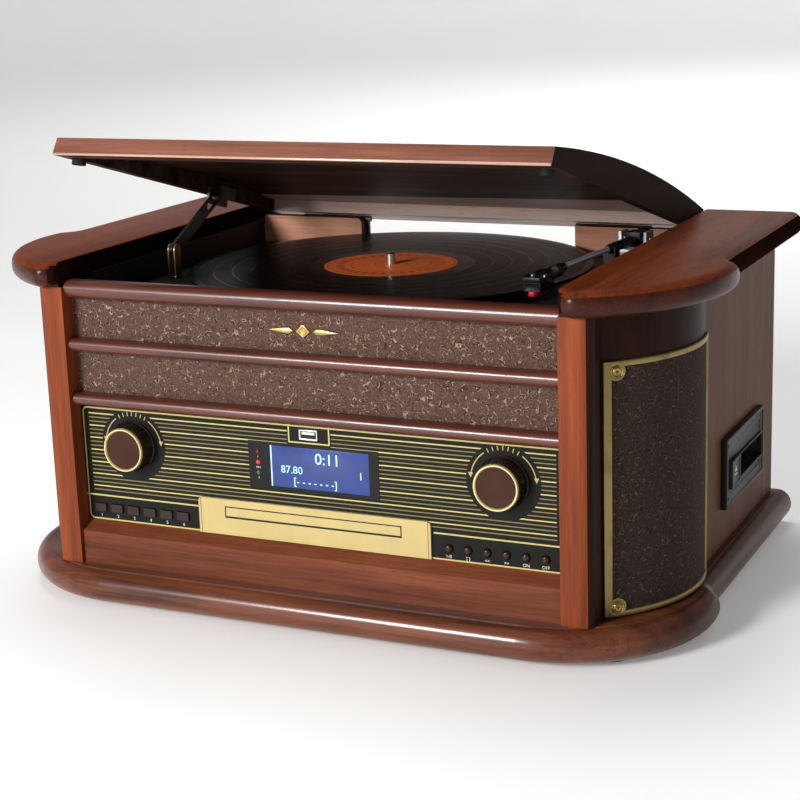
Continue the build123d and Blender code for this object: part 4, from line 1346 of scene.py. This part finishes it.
def cross(at: Point, half: float, near: float, far: float, soft: float) -> list[Shape]:
    """The two bars of a screw's cross slot, which looks along Y.

    Args:
        at: The middle of the screw's head.
        half: Half the length of a bar.
        near: Where the bars begin, from the middle along Y.
        far: Where they end.
        soft: How much their edges are rounded.

    Returns:
        The bars.
    """
    x, y, z = at
    return [Shape.block((x - a, y + near, z - b), (x + a, y + far, z + b)).rounded(soft, 1)
            for a, b in ((half, 0.3), (0.3, half))]


@dataclass
class Wings:
    """The two shelves beside the lid, with a round nose, a bowed corner and a crisp inner edge."""

    inner: float = 187.2
    side: float = 261.5
    rear: float = 174.6
    under: float = 232.3
    top: float = 250.6
    corner: Point = (150.0, -61.0)
    bow: float = 122.16
    nose: float = 11.0
    bow_end: float = 6.0
    step: float = 14.0
    edge: float = 8.0
    notch: float = -42.0

    def plan(self) -> list[Vector]:
        """The right wing's outline at its lower face.

        Returns:
            The points, from the back of the inner edge round the front to the back of the side.
        """
        corner = Vector((*self.corner, self.under))
        meet = -math.degrees(math.acos((self.inner + self.nose - corner.x) / (self.bow - self.nose)))
        points = [Vector((self.inner, self.rear, self.under))]
        points += arc(corner + polar(meet) * (self.bow - self.nose), self.nose, -180, meet, 9)
        points += arc(corner, self.bow, meet, self.bow_end, 26)[1:]
        tilt = math.cos(math.radians(self.bow_end))
        shift = corner.x + self.bow * tilt - self.side
        turn = math.degrees(math.acos((self.step * (1 + tilt) - shift) / (2 * self.step)))
        points += arc(points[-1] - polar(self.bow_end) * self.step, self.step, self.bow_end, turn, 5)[1:]
        points += arc(points[-1] + polar(turn) * self.step, self.step, turn + 180, 180, 5)[1:]
        return points + [Vector((self.side, self.rear, self.under))]

    def nosed(self, at: Vector, way: Vector) -> bool:
        """Tells the outline's upper and lower edges that are rounded off."""
        level = min(abs(self.under - at.z), abs(self.top - at.z)) < 0.01
        return level and at.x > self.inner + 0.3 and at.y < self.rear - 0.3

    def dark(self, at: Vector, way: Vector) -> bool:
        """Tells the faces behind the notch, below the top, and those that look at the lid, which get painted
        shade.
        """
        return way.z < 0.7 and (at.y >= self.notch or way.x * at.x < -0.6 * abs(at.x))

    def build(self) -> None:
        """Builds both wings as one piece."""
        wing = Shape.plate(self.plan(), (0, 0, self.top - self.under))
        with wing:
            wing.pick(self.nosed, "EDGE")
            bpy.ops.mesh.bevel(offset=self.edge, segments=6, affect="EDGES")
        wing.clean().rounded(0.7, 2, 50)
        wing.join(wing.mirrored()).paint(Stain.WING)
        # Painted shade on the wings' front faces.
        wing.paint(Stain.NOSE, lambda at, way: way.z < 0.55 and at.y < self.notch)
        # Painted shade on the sides behind the notch and on the faces that look at the lid.
        wing.paint(Stain.WING_EDGE, self.dark).done("wing_boards", "cabinet", "dark_wood", ["wings"], 40)


@dataclass
class Knob:
    """A turned knob with a ribbed side, a gold ring and a dished brown face."""

    name: str
    body: str
    node: str
    x: float
    z: float = 117.0
    profile: Profile = (
        (0, -138.9), (3, -138.9), (3, -149.7), (18.5, -149.7), (18.5, -150.7), (17.9, -151.4), (17.5, -151.6),
        (16.2, -161.2), (16.0, -162.4), (15.8, -163.4), (15.4, -164.0), (14.7, -164.0), (14.3, -163.6),
        (14.0, -162.9), (12.6, -162.7), (7, -163.0), (0, -163.1))
    sides: int = 104
    ribs: tuple[float, float] = (-161.0, -152.0)
    ring: tuple[float, float] = (13.4, 16.05)

    def off(self, at: Vector) -> float:
        """Distance of a point from the knob's axis."""
        return math.hypot(at.x - self.x, at.z - self.z)

    def rib(self, at: Vector, way: Vector) -> bool:
        """Tells every second flat of the side.

        Args:
            at: A face's middle.
            way: Its normal.

        Returns:
            Whether the face is one of them.
        """
        turn = math.atan2(at.z - self.z, at.x - self.x) / math.tau * self.sides
        on_side = abs(way.y) < 0.3 and self.ribs[0] < at.y < self.ribs[1] and self.off(at) > 15
        return on_side and math.floor(turn) % 2 == 0

    def build(self) -> None:
        """Builds the knob."""
        knob = Shape.lathe(self.profile, (self.x, 0, self.z), Way.Y, self.sides)
        with knob:
            knob.pick(self.rib)
            bpy.ops.mesh.inset(thickness=0.1, depth=0.5, use_individual=True)
        knob.paint(Make.KNOB_SIDE)
        knob.paint(Make.KNOB_FACE, lambda at, way: at.y < -162.6 and self.off(at) < self.ring[0])
        knob.paint(Make.RING, lambda at, way: at.y < -162.5 and self.ring[0] < self.off(at) < self.ring[1])
        knob.done(self.name, self.body, "brown_plastic", [self.node], 30)


@dataclass
class ControlPanel:
    """The front panel's knobs, display, lamps, signs, port and the gap round its drawer."""

    face: float = -149.2
    window_face: float = -149.6
    knob_x: float = 142.7
    screen: tuple[float, float, float, float] = (-29.5, 98.0, 45.3, 127.3)
    lamp_x: float = -40.4
    buttons: int = 6
    menu_x: float = -174.4
    menu_pitch: float = 14.0
    play_x: float = 102.5
    play_pitch: float = 13.8
    drawer: tuple[float, float, float, float] = (67.9, -151.0, 72.2, 78.7)

    def display(self) -> None:
        """Builds the lit screen with its digits, and the three lamps."""
        left, low, right, high = self.screen
        y = self.window_face
        for name, finish, start, end, lift in (("screen", Make.SCREEN, left, right, 0.25),
                                               ("screen_edge", Make.DIGITS, left - 0.9, left + 0.3, 0.28)):
            pane = Shape.block((start, y - lift, low), (end, y + 0.6, high)).rounded(0.15, 2)
            pane.paint(finish).done(name, "cabinet", "display_glass")
        rows = (("0:11", 8.0, 14.0, 116.6), ("87.80", 5.4, -14.0, 108.4), ("1", 5.4, 39.0, 108.4),
                ("[- - - - - - -]", 5.2, 4.0, 100.6))
        digits = Shape.union([Shape.words(text, tall, (x, y - 0.3, z)) for text, tall, x, z in rows])
        digits.paint(Make.DIGITS).done("screen_digits", "cabinet", "display_glass")
        for name, z, finish in (("upper", 121.8, Make.DIM_RED_LAMP), ("middle", 114.2, Make.RED_LAMP),
                                ("lower", 106.6, Make.GREEN_LAMP)):
            lamp = Shape.lathe(((0, 0.3), (1.5, 0.3), (1.5, -0.35), (1.15, -0.75), (0.6, -0.95), (0, -1.0)),
                               (self.lamp_x, y, z), Way.Y, 20)
            lamp.paint(finish).done(f"lamp_{name}", "cabinet", "display_glass")

    def signs(self) -> None:
        """Builds plain numbers and marks under the buttons and the lamps."""
        rows = [(str(i + 1), 2.3, self.menu_x + i * self.menu_pitch, self.face, 60.6)
                for i in range(self.buttons)]
        rows += [(sign, 2.2, self.play_x + i * self.play_pitch, self.face, 60.2)
                 for i, sign in enumerate((">/II", "[ ]", "<<", ">>", "ON", "OFF"))]
        rows += [(sign, 1.5, self.lamp_x, self.window_face, z)
                 for sign, z in (("1", 117.5), ("ON", 109.8), ("2", 102.2))]
        made = Shape.union([Shape.words(sign, tall, (x, y - 0.02, z)) for sign, tall, x, y, z in rows])
        made.paint(Make.WHITE_INK).done("panel_signs", "cabinet", "pale_gold")

    def drawer_gap(self) -> None:
        """Builds the dark line round the drawer's front, wider below: painted shade of the gap, thickest where
        its shadow falls below.
        """
        x, y, low, high = self.drawer
        side, lap, below, above = 0.8, 0.1, 1.3, 0.75
        bars = ((-x - side, low - below, x + side, low + lap), (-x - side, low, -x + lap, high),
                (-x - side, high - lap, x + side, high + above), (x - lap, low, x + side, high))
        made = [Shape.block((x0, y - 0.09, z0), (x1, y + 0.6, z1)).rounded(0.06, 1).paint(Make.BLACK)
                for x0, z0, x1, z1 in bars]
        Shape.union(made).done("drawer_gap", "cabinet", "panel_black")

    def port(self) -> None:
        """Builds the port's metal mouth and its tongue."""
        shell = Shape.block((-7.0, -150.1, 133.2), (7.0, -148.9, 140.4))
        shell.panelled(FRONT, (0.7, 0), (0.05, -0.9)).rounded(0.12, 2, 40).paint(Make.STEEL)
        # Painted shade: the back of the port's mouth is coloured black.
        shell.paint(Make.BLACK, lambda at, way: at.y > -149.6 and abs(at.x) < 6.4 and way.y < -0.5)
        shell.done("port_shell", "cabinet", "bright_steel")
        tongue = Shape.block((-5.0, -149.95, 137.0), (5.0, -149.0, 139.0)).rounded(0.3, 2)
        tongue.paint(Make.WHITE_INK).done("port_tongue", "cabinet", "silver_plastic")

    def build(self) -> None:
        """Builds everything on the panel."""
        for name, x in (("volume", -self.knob_x), ("tuning", self.knob_x)):
            Knob(f"{name}_dial", name, f"{name}_knob", x).build()
        self.display()
        self.signs()
        self.drawer_gap()
        self.port()


@dataclass
class Grille:
    """The ornament on the upper cloth band."""

    front: float = -149.4
    middle_z: float = 209.4

    def build(self) -> None:
        """Builds a plain lozenge between two drawn-out leaves."""
        z, y = self.middle_z, self.front
        lozenge = Shape.plate([(-5.5, y, z), (0, y, z - 4.6), (5.5, y, z), (0, y, z + 4.6)], (0, -1.3, 0))
        lozenge.panelled(FRONT, (1.0, 0), (0.5, -0.5))
        leaf = Shape.plate([(7.0, y, z), (10.5, y, z - 2.2), (15.0, y, z - 2.0), (28.0, y, z),
                            (15.0, y, z + 2.0), (10.5, y, z + 2.2)], (0, -1.1, 0))
        leaf.panelled(FRONT, (0.7, 0.35))
        lozenge.join(leaf, leaf.mirrored()).rounded(0.2, 2, 40)
        lozenge.paint(Make.SCREW).done("band_ornament", "cabinet", "screw_brass")


@dataclass
class SpeakerCorners:
    """The curved loudspeaker frames with their lobed ears and ringed screws."""

    corner: Point = (150.0, -61.0)
    inner: float = 98.6
    face: float = 100.9
    start: float = -54.0
    end: float = 14.0
    bottom: float = 28.5
    top: float = 200.5
    bar: float = 4.0
    front_bar: float = 6.0
    ear: float = -48.8
    ear_radius: float = 6.3
    heights: tuple[float, float] = (35.3, 193.7)

    def on_face(self, at: Vector, way: Vector) -> bool:
        """Tells what lies on the frame's face."""
        return math.hypot(at.x - self.corner[0], at.y - self.corner[1]) > self.face - 0.35

    def bow(self, low: float, high: float, start: float, end: float, steps: int) -> Shape:
        """A bar bowed round the corner.

        Args:
            low: Its lower height.
            high: Its upper height.
            start: The direction of its first end, in degrees.
            end: The direction of its other end.
            steps: How many steps its bow has.

        Returns:
            The bar, with soft edges on its face.
        """
        middle = (*self.corner, low)
        made = Shape.plate([*arc(middle, self.inner, start, end, steps),
                            *reversed(arc(middle, self.face, start, end, steps))], (0, 0, high - low))
        with made:
            made.pick(self.on_face, "EDGE")
            bpy.ops.mesh.bevel(offset=0.9, segments=3, affect="EDGES")
        return made

    def to_ear(self, part: Shape) -> Shape:
        """Turns a part from straight in front of the corner's middle to the ears."""
        return part.turned(90 + self.ear, Way.Z, (*self.corner, 0))

    def frames(self) -> None:
        """Builds both frames, with the round lobes that carry the screws."""
        front = self.start + math.degrees(self.front_bar / self.face)
        rear = self.end - math.degrees(self.bar * 0.8 / self.face)
        parts = [self.bow(self.bottom, self.bottom + self.bar, self.start, self.end, 26),
                 self.bow(self.top - self.bar, self.top, self.start, self.end, 26),
                 self.bow(self.bottom, self.top, self.start, front, 3),
                 self.bow(self.bottom, self.top, rear, self.end, 2)]
        radius = self.ear_radius
        lobe = ((0, 2.2), (radius, 2.2), (radius, 0.4), (radius - 0.5, -0.05), (radius - 1.2, -0.05),
                (radius - 1.6, 0.3), (0, 0.3))
        parts += [self.to_ear(Shape.lathe(lobe, (self.corner[0], self.corner[1] - self.face, z), Way.Y, 40))
                  for z in self.heights]
        made = Shape.union(parts).paint(Make.BRASS)
        made.join(made.mirrored()).done("corner_frames", "cabinet", "antique_brass", ["speaker_frames"], 40)

    def screws(self) -> None:
        """Builds ringed screws with a cross slot, one to each ear."""
        low, high = self.heights
        at = (self.corner[0], self.corner[1] - self.face, low)
        head = Shape.lathe(((0, 5.0), (1.2, 5.0), (1.2, 0.3), (4.3, 0.3), (4.3, -0.1), (3.9, -0.45),
                            (3.5, -0.1), (3.2, 0.1), (2.9, -0.5), (2.1, -1.0), (1.2, -0.8), (0, -0.7)),
                           at, Way.Y, 28)
        # Painted shade: the cross slot is a dark cross on the brass head, not a recess.
        slots = [bar.paint(Make.BLACK_METAL) for bar in cross(at, 1.3, -0.95, -0.6, 0.08)]
        self.to_ear(head.paint(Make.SCREW).join(*slots))
        head.join(head.copy((0, 0, high - low)))
        head.join(head.mirrored()).done("frame_screws", "cabinet", "screw_brass", ["speaker_screws"])

    def build(self) -> None:
        """Builds the dressing of both corners."""
        self.frames()
        self.screws()


@dataclass
class Deck:
    """The record's label and the figures at the speed switch."""

    middle: Point = (-6.0, 4.0)
    top: float = 228.3
    label: float = 50.0
    hole: float = 3.7
    groove: float = 35.3
    deck: float = 217.5
    speeds: tuple[tuple[str, float], ...] = (("33", 163.6), ("45", 168.0), ("78", 172.4))
    speeds_y: float = -121.6

    def build(self) -> None:
        """Builds the label as a thin pressed disc with a raised rim, and the figures."""
        edge, hole, groove = self.label, self.hole, self.groove
        profile = ((hole, -0.3), (edge, -0.3), (edge, 0.02), (edge - 0.4, 0.14), (edge - 1.6, 0.1),
                   (groove + 0.7, 0.1), (groove, 0.02), (groove - 0.7, 0.1), (hole, 0.1), (hole, -0.3))
        disc = Shape.lathe(profile, (*self.middle, self.top), Way.Z, 96)
        disc.paint(Make.LABEL).done("record_label", "turntable", "record_vinyl", (), 20)
        marks = Shape.union([Shape.words(text, 2.0, (x, self.speeds_y, self.deck), (0, 0, 0), 0.16)
                             for text, x in self.speeds])
        marks.paint(Make.WHITE_INK).done("speed_marks", "cabinet", "black_plastic")


@dataclass
class Tonearm:
    """The tonearm with its tube, sleeve, weight, headshell, cartridge and red stylus guard."""

    pivot: Point = (158.0, 86.0)
    lean: float = -5.4
    tube_z: float = 240.5
    shell_z: float = 238.2
    shell_from: float = 136.7
    shell_to: float = 176.7
    lift_z: float = 239.4
    guard_z: float = 228.9

    def leaned(self, part: Shape) -> Shape:
        """Leans a part from straight ahead to the arm's rest."""
        return part.turned(self.lean, Way.Z, (*self.pivot, 0))

    def tube(self) -> None:
        """Builds the tube, its sleeve and collars, and the weight behind the pivot."""
        x, y = self.pivot
        centre = (x, y, self.tube_z)
        tube = Shape.lathe(((0, 11.0), (2.2, 11.0), (2.2, -139.0), (0, -139.0)), centre, Way.Y, 24)
        sleeve = [(0, -10.0), (3.1, -10.0), (3.6, -11.0), (3.6, -30.0)]
        for ring in range(5):
            place = -32.0 - ring * 3.2
            sleeve += [(3.6, place), (3.1, place - 0.5), (3.1, place - 1.3), (3.6, place - 1.8)]
        sleeve += [(3.4, -49.0), (2.6, -52.5), (0, -52.5)]
        grip = Shape.lathe(sleeve, centre, Way.Y, 28)
        collar = Shape.lathe(((0, -126), (2.9, -126), (3.5, -128), (3.5, -137.5), (2.9, -139.5), (0, -139.5)),
                             centre, Way.Y, 28)
        weight = Shape.lathe(((0, 8.8), (5.7, 8.8), (6.4, 9.6), (6.4, 11.5), (5.9, 11.9), (5.9, 12.5),
                              (6.4, 12.9), (6.4, 17.0), (5.6, 18.2), (4.8, 18.2), (4.4, 17.6), (0, 17.6)),
                             centre, Way.Y, 36)
        block = Shape.block((x - 6, y - 6.5, 235.0), (x + 6, y + 6.5, 246.2))
        block.panelled(UP, (1.4, 0), (0.5, -0.7)).rounded(0.6, 2)
        for part in (grip, collar, weight, block):
            part.paint(Make.BLACK)
        weight.paint(Make.STEEL, lambda at, way: at.y > y + 17.4)
        pins = Shape.lathe(((0, -8.6), (1.7, -8.6), (1.9, -8.2), (1.9, 8.2), (1.7, 8.6), (0, 8.6)),
                           centre, Way.X, 20)
        tube.paint(Make.SILVER).join(grip, collar, weight, block, pins.paint(Make.SILVER))
        self.leaned(tube).done("arm_tube", "arm", "bright_steel", ["tonearm"])

    def shell(self) -> None:
        """Builds the headshell with its finger lift, the cartridge under it and the red stylus guard."""
        x, rear, front = self.pivot[0], self.pivot[1] - (self.shell_from - 2), self.pivot[1] - self.shell_to
        z, lift_z, guard_z = self.shell_z, self.lift_z, self.guard_z
        right = ((4.5, rear), (8.2, rear - 11), (8.4, front + 3), (6.2, front))
        plan = [(x - off, y, z) for off, y in right] + [(x + off, y, z) for off, y in reversed(right)]
        shell = Shape.plate(plan, (0, 0, 3.6))
        shell.panelled(UP, (1.1, 0), (0.4, -0.8)).rounded(0.5, 2, 40)
        neck = Shape.block((x - 4.2, rear - 2.5, z + 0.2), (x + 4.2, rear + 4.0, 243.1)).rounded(1.4, 3)
        lift = Shape.plate([(x + off, front + ahead, lift_z) for off, ahead in (
            (8.0, 14), (8.0, 5), (11.0, 3.5), (14.6, 1.0), (15.4, 3.0), (11.5, 9.5))], (0, 0, 1.0))
        body = Shape.block((x - 6.4, front + 1.0, 231.8), (x + 6.4, front + 22.5, z + 0.2))
        body.panelled(FRONT, (1.1, 0), (0.3, -0.6)).rounded(0.6, 2)
        for part in (shell, neck, lift.rounded(0.3, 2), body):
            part.paint(Make.BLACK)
        head = ((0, 1.4), (1.1, 1.4), (1.5, 1.0), (1.5, 0), (0, 0))
        screws = [Shape.lathe(head, (x + side, front + 12, 241.0), Way.Z, 16).paint(Make.STEEL)
                  for side in (-4.6, 4.6)]
        guard = Shape.plate([(x + off, front + ahead, guard_z) for off, ahead in (
            (-4.4, 18), (-4.4, 4), (-2.0, -0.2), (2.0, -0.2), (4.4, 4), (4.4, 18))], (0, 0, 3.3))
        guard.rounded(0.7, 3).paint(Make.RED_TIP)
        pins = [Shape.lathe(((0, 3.4), (0.55, 3.4), (0.55, 0), (0, 0)), (x + i * 2.6, front + 22.3, 235.0),
                            Way.Y, 10).paint(Make.SCREW) for i in (-1.5, -0.5, 0.5, 1.5)]
        self.leaned(shell.join(neck, lift, body, guard, *screws, *pins))
        shell.done("arm_headshell", "arm", "black_plastic", ["headshell"])

    def build(self) -> None:
        """Builds the arm."""
        self.tube()
        self.shell()


@dataclass
class CassetteSide:
    """The stepped frame round the cassette slot, and the eject key's face."""

    wall: float = 241.3
    face: float = 246.0
    rear: float = 129.5
    front: float = 22.5
    low: float = 56.0
    high: float = 108.5
    slot: tuple[float, float, float, float] = (61.0, 127.0, 71.0, 88.0)
    well: tuple[float, float, float, float] = (33.2, 57.8, 67.7, 90.3)
    mark_x: float = 246.2

    def bezel(self) -> None:
        """Builds the frame, stepped in twice, with the slot and the key's well cut through, and its screws."""
        made = Shape.block((self.wall, self.front, self.low), (self.face, self.rear, self.high))
        made.panelled(RIGHT, (2.6, 0), (0.5, -0.9), (5.5, 0), (0.5, -0.8)).rounded(0.45, 2, 25)
        start, end, low, high = self.slot
        for y0, y1, z0, z1 in ((start, end - 1.5, low, high), self.well):
            made.cut((self.wall - 3, y0, z0), (self.face + 3, y1, z1))
        made.paint(Make.BEZEL)
        x = self.face - 0.9
        lips = [Shape.block((x - 1.2, start - 1.5, z), (x + 0.75, end, z + 1.3)).rounded(0.3, 2)
                .paint(Make.BEZEL) for z in (low - 1.3, high)]
        head = ((0, -0.6), (1.6, -0.6), (1.6, 0.1), (1.2, 0.45), (0, 0.5))
        screws = [Shape.lathe(head, (x, y, z), Way.X, 16).paint(Make.BLACK_METAL)
                  for y in (30.0, 122.0) for z in (62.5, 102.0)]
        made.join(*lips, *screws).done("cassette_frame", "cabinet", "bezel_plastic", ["cassette_bezel"], 40)

    def key(self) -> None:
        """Builds the eject key with a dished face and a raised mark."""
        key = Shape.block((226.3, 34.0, 68.5), (247.1, 57.0, 89.5)).panelled(RIGHT, (1.6, 0), (0.9, -0.8))
        key.rounded(0.5, 2, 25).paint(Make.BLACK)
        x = self.mark_x
        mark = Shape.plate([(x, 42.0, 79.5), (x, 49.0, 79.5), (x, 45.5, 83.8)], (0.35, 0, 0))
        foot = Shape.block((x, 42.0, 76.6), (x + 0.35, 49.0, 77.8))
        for part in (mark, foot):
            part.rounded(0.1, 1).paint(Make.WHITE_INK)
        key.join(mark, foot).done("eject_button", "eject", "black_plastic", ["eject_key"], 40)

    def build(self) -> None:
        """Builds the frame and the key."""
        self.bezel()
        self.key()


@dataclass
class Lid:
    """The lid's glossy bead along its lower front edge, pale as a painted highlight, in its place on the stay.
    """

    hinge: Point = (0, 144.4, 238.2)
    opening: float = 15.5
    half: float = 183.4
    front: float = -174.6
    height: float = 241.7

    def build(self) -> None:
        """Builds the bead, which carries a painted highlight."""
        bead = Shape.rod(0.9, (-self.half, self.front, self.height), (self.half, self.front, self.height), 16)
        bead.rounded(0.3, 2, 60).turned(-self.opening, Way.X, self.hinge)
        bead.paint(Stain.BEAD).done("lid_bead", "lid", "dark_wood")


@dataclass
class Stay:
    """The brass fork that carries the stay's foot."""

    x: float = -171.05
    y: float = -34.0
    pivot_z: float = 238.5
    deck: float = 217.5
    cheeks: tuple[float, float] = (-3.3, 2.0)
    cheek: float = 1.3
    radius: float = 4.6

    def build(self) -> None:
        """Builds two round-topped cheeks on a screwed foot, with the pin's two domed heads."""
        made = []
        for side in self.cheeks:
            x = self.x + side
            outline = [(x, self.y - 4.2, self.deck + 1.0), (x, self.y + 4.2, self.deck + 1.0)]
            outline += [(x, self.y + self.radius * math.cos(turn),
                         self.pivot_z + 0.1 + self.radius * math.sin(turn))
                        for turn in (math.pi * i / 12 for i in range(13))]
            made.append(Shape.plate(outline, (self.cheek, 0, 0)).rounded(0.25, 2, 40))
        made.append(Shape.block((self.x - 3.6, self.y - 4.6, self.deck),
                                (self.x + 3.7, self.y + 4.6, self.deck + 1.6)).rounded(0.4, 2))
        for way, dome in ((-1, 0.45), (1, 0.42)):
            head = ((0, -0.4), (2.6, -0.4), (2.6, 0.1), (2.1, 0.35), (0.9, dome), (0, dome))
            made.append(Shape.lathe([(radius, place * way) for radius, place in head],
                                    (self.x + 3.3 * way, self.y, self.pivot_z), Way.X, 24))
        fork = Shape.union(made).paint(Make.BRASS)
        fork.done("stay_fork", "cabinet", "screw_brass", ["stay_deck_bracket"], 40)


@dataclass
class Rear:
    """The back's jacks, mains inlet, vent and screws."""

    face: float = 141.6
    plate_face: float = 144.6
    jack_end: float = 150.6
    middle: Point = (60.0, 85.5)
    pitch: float = 18.0
    radius: float = 4.2
    inlet: Point = (-150.0, 85.5)
    vent: tuple[float, float, float, float] = (-76.0, 130.0, 76.0, 172.0)
    slats: int = 8
    slat_pitch: float = 4.5
    board_screws: tuple[Point, ...] = (
        *((x, z) for x in (-222.0, 222.0) for z in (35.0, 130.0, 205.0)), (-75.0, 35.0), (75.0, 35.0))
    plate_screws: tuple[Point, ...] = ((22.5, 71.0), (97.5, 71.0), (22.5, 100.0), (97.5, 100.0))

    def jacks(self) -> None:
        """Builds coloured collars and plated sleeves with a bored end on the eight jacks."""
        r, y, end = self.radius, self.plate_face, self.jack_end
        collar = ((r, y - 0.4), (r + 2.6, y - 0.4), (r + 2.6, y + 0.8), (r + 2.1, y + 1.3), (r, y + 1.3),
                  (r, y - 0.4))
        sleeve = ((r - 0.2, y), (r + 0.3, y), (r + 0.3, end - 0.5), (r - 0.1, end + 0.15), (2.3, end + 0.15),
                  (2.3, end - 0.2), (r - 0.2, end - 0.2), (r - 0.2, y))
        core = ((0, end - 0.1), (2.2, end - 0.1), (2.2, end + 0.05), (1.2, end + 0.1), (1.0, end + 0.02),
                (0, end + 0.02))
        made = []
        x, z = self.middle
        for column in range(4):
            for row, tone in enumerate((Make.JACK_RED, Make.JACK_WHITE)):
                at = (x + (column - 1.5) * self.pitch, 0, z + (row - 0.5) * self.pitch)
                made += [Shape.lathe(profile, at, Way.Y, sides).paint(finish) for profile, sides, finish in (
                    (collar, 32, tone), (sleeve, 32, Make.STEEL), (core, 24, Make.BLACK))]
        Shape.union(made).done("jack_fittings", "cabinet", "socket_plastic")

    def mains(self) -> None:
        """Builds the inlet's two pins and its raised rim."""
        x, z = self.inlet
        y = self.plate_face
        pins = [Shape.lathe(((0, 127.0), (1.2, 127.0), (1.2, 137.6), (0.7, 138.6), (0, 138.8)),
                            (x + side, 0, z), Way.Y, 16).paint(Make.STEEL) for side in (-4.2, 4.2)]
        rim = Shape.block((x - 13.2, y - 1.2, z - 9.2), (x + 13.2, y + 0.9, z + 9.2)).panelled(BACK, (1.9, 0))
        rim.cut((x - 11.0, y - 4, z - 7.0), (x + 11.0, y + 4, z + 7.0))
        rim.rounded(0.4, 2).paint(Make.SOCKET).join(*pins).done("inlet_fittings", "cabinet", "socket_plastic")

    def louvres(self) -> None:
        """Builds a framed vent with a row of slanted slats."""
        left, low, right, high = self.vent
        y = self.face
        made = Shape.block((left, y - 0.4, low), (right, y + 2.0, high))
        made.panelled(BACK, (3.0, 0), (0.4, -1.7)).rounded(0.35, 2, 25).paint(Make.BLACK)
        slat = Shape.plate([(left + 3, y + out, low + rise) for out, rise in (
            (0.2, 4.0), (1.7, 4.4), (1.7, 5.4), (0.2, 6.6))], (right - left - 6, 0, 0))
        slat.modifier("ARRAY", count=self.slats, use_relative_offset=False, use_constant_offset=True,
                      constant_offset_displace=(0, 0, self.slat_pitch))
        made.join(slat.rounded(0.2, 1).paint(Make.BLACK)).done("rear_vent", "cabinet", "black_plastic")

    def screws(self) -> None:
        """Builds domed cross-slot screws round the board and on the socket plate."""
        made = []
        for y, size, places in ((self.face, 3.4, self.board_screws),
                                (self.plate_face, 2.0, self.plate_screws)):
            profile = ((0, y - 0.3), (size, y - 0.3), (size, y + 0.3), (size * 0.7, y + 1.1), (0, y + 1.4))
            for x, z in places:
                head = Shape.lathe(profile, (x, 0, z), Way.Y, 24).paint(Make.BLACK_METAL)
                # Painted shade: the cross slot is a matte black cross on the head, not a recess.
                slots = [bar.paint(Make.BLACK) for bar in cross((x, y, z), size * 0.5, 0.9, 1.45, 0.05)]
                made.append(head.join(*slots))
        Shape.union(made).done("rear_screws", "cabinet", "black_metal")

    def build(self) -> None:
        """Builds everything on the back."""
        self.jacks()
        self.mains()
        self.louvres()
        self.screws()


def main() -> None:
    """Builds and dresses the whole music centre."""
    logging.basicConfig(level=logging.INFO, format="%(message)s")
    dress_nodes()
    for part in (Wings(), ControlPanel(), Grille(), SpeakerCorners(), Deck(), Tonearm(), Lid(), Stay(),
                 CassetteSide(), Rear()):
        part.build()
    studio = Studio()
    studio.floor()
    studio.lights()
    studio.camera()
    bpy.context.scene.view_settings.view_transform = "Standard"


if __name__ == "__main__":
    main()
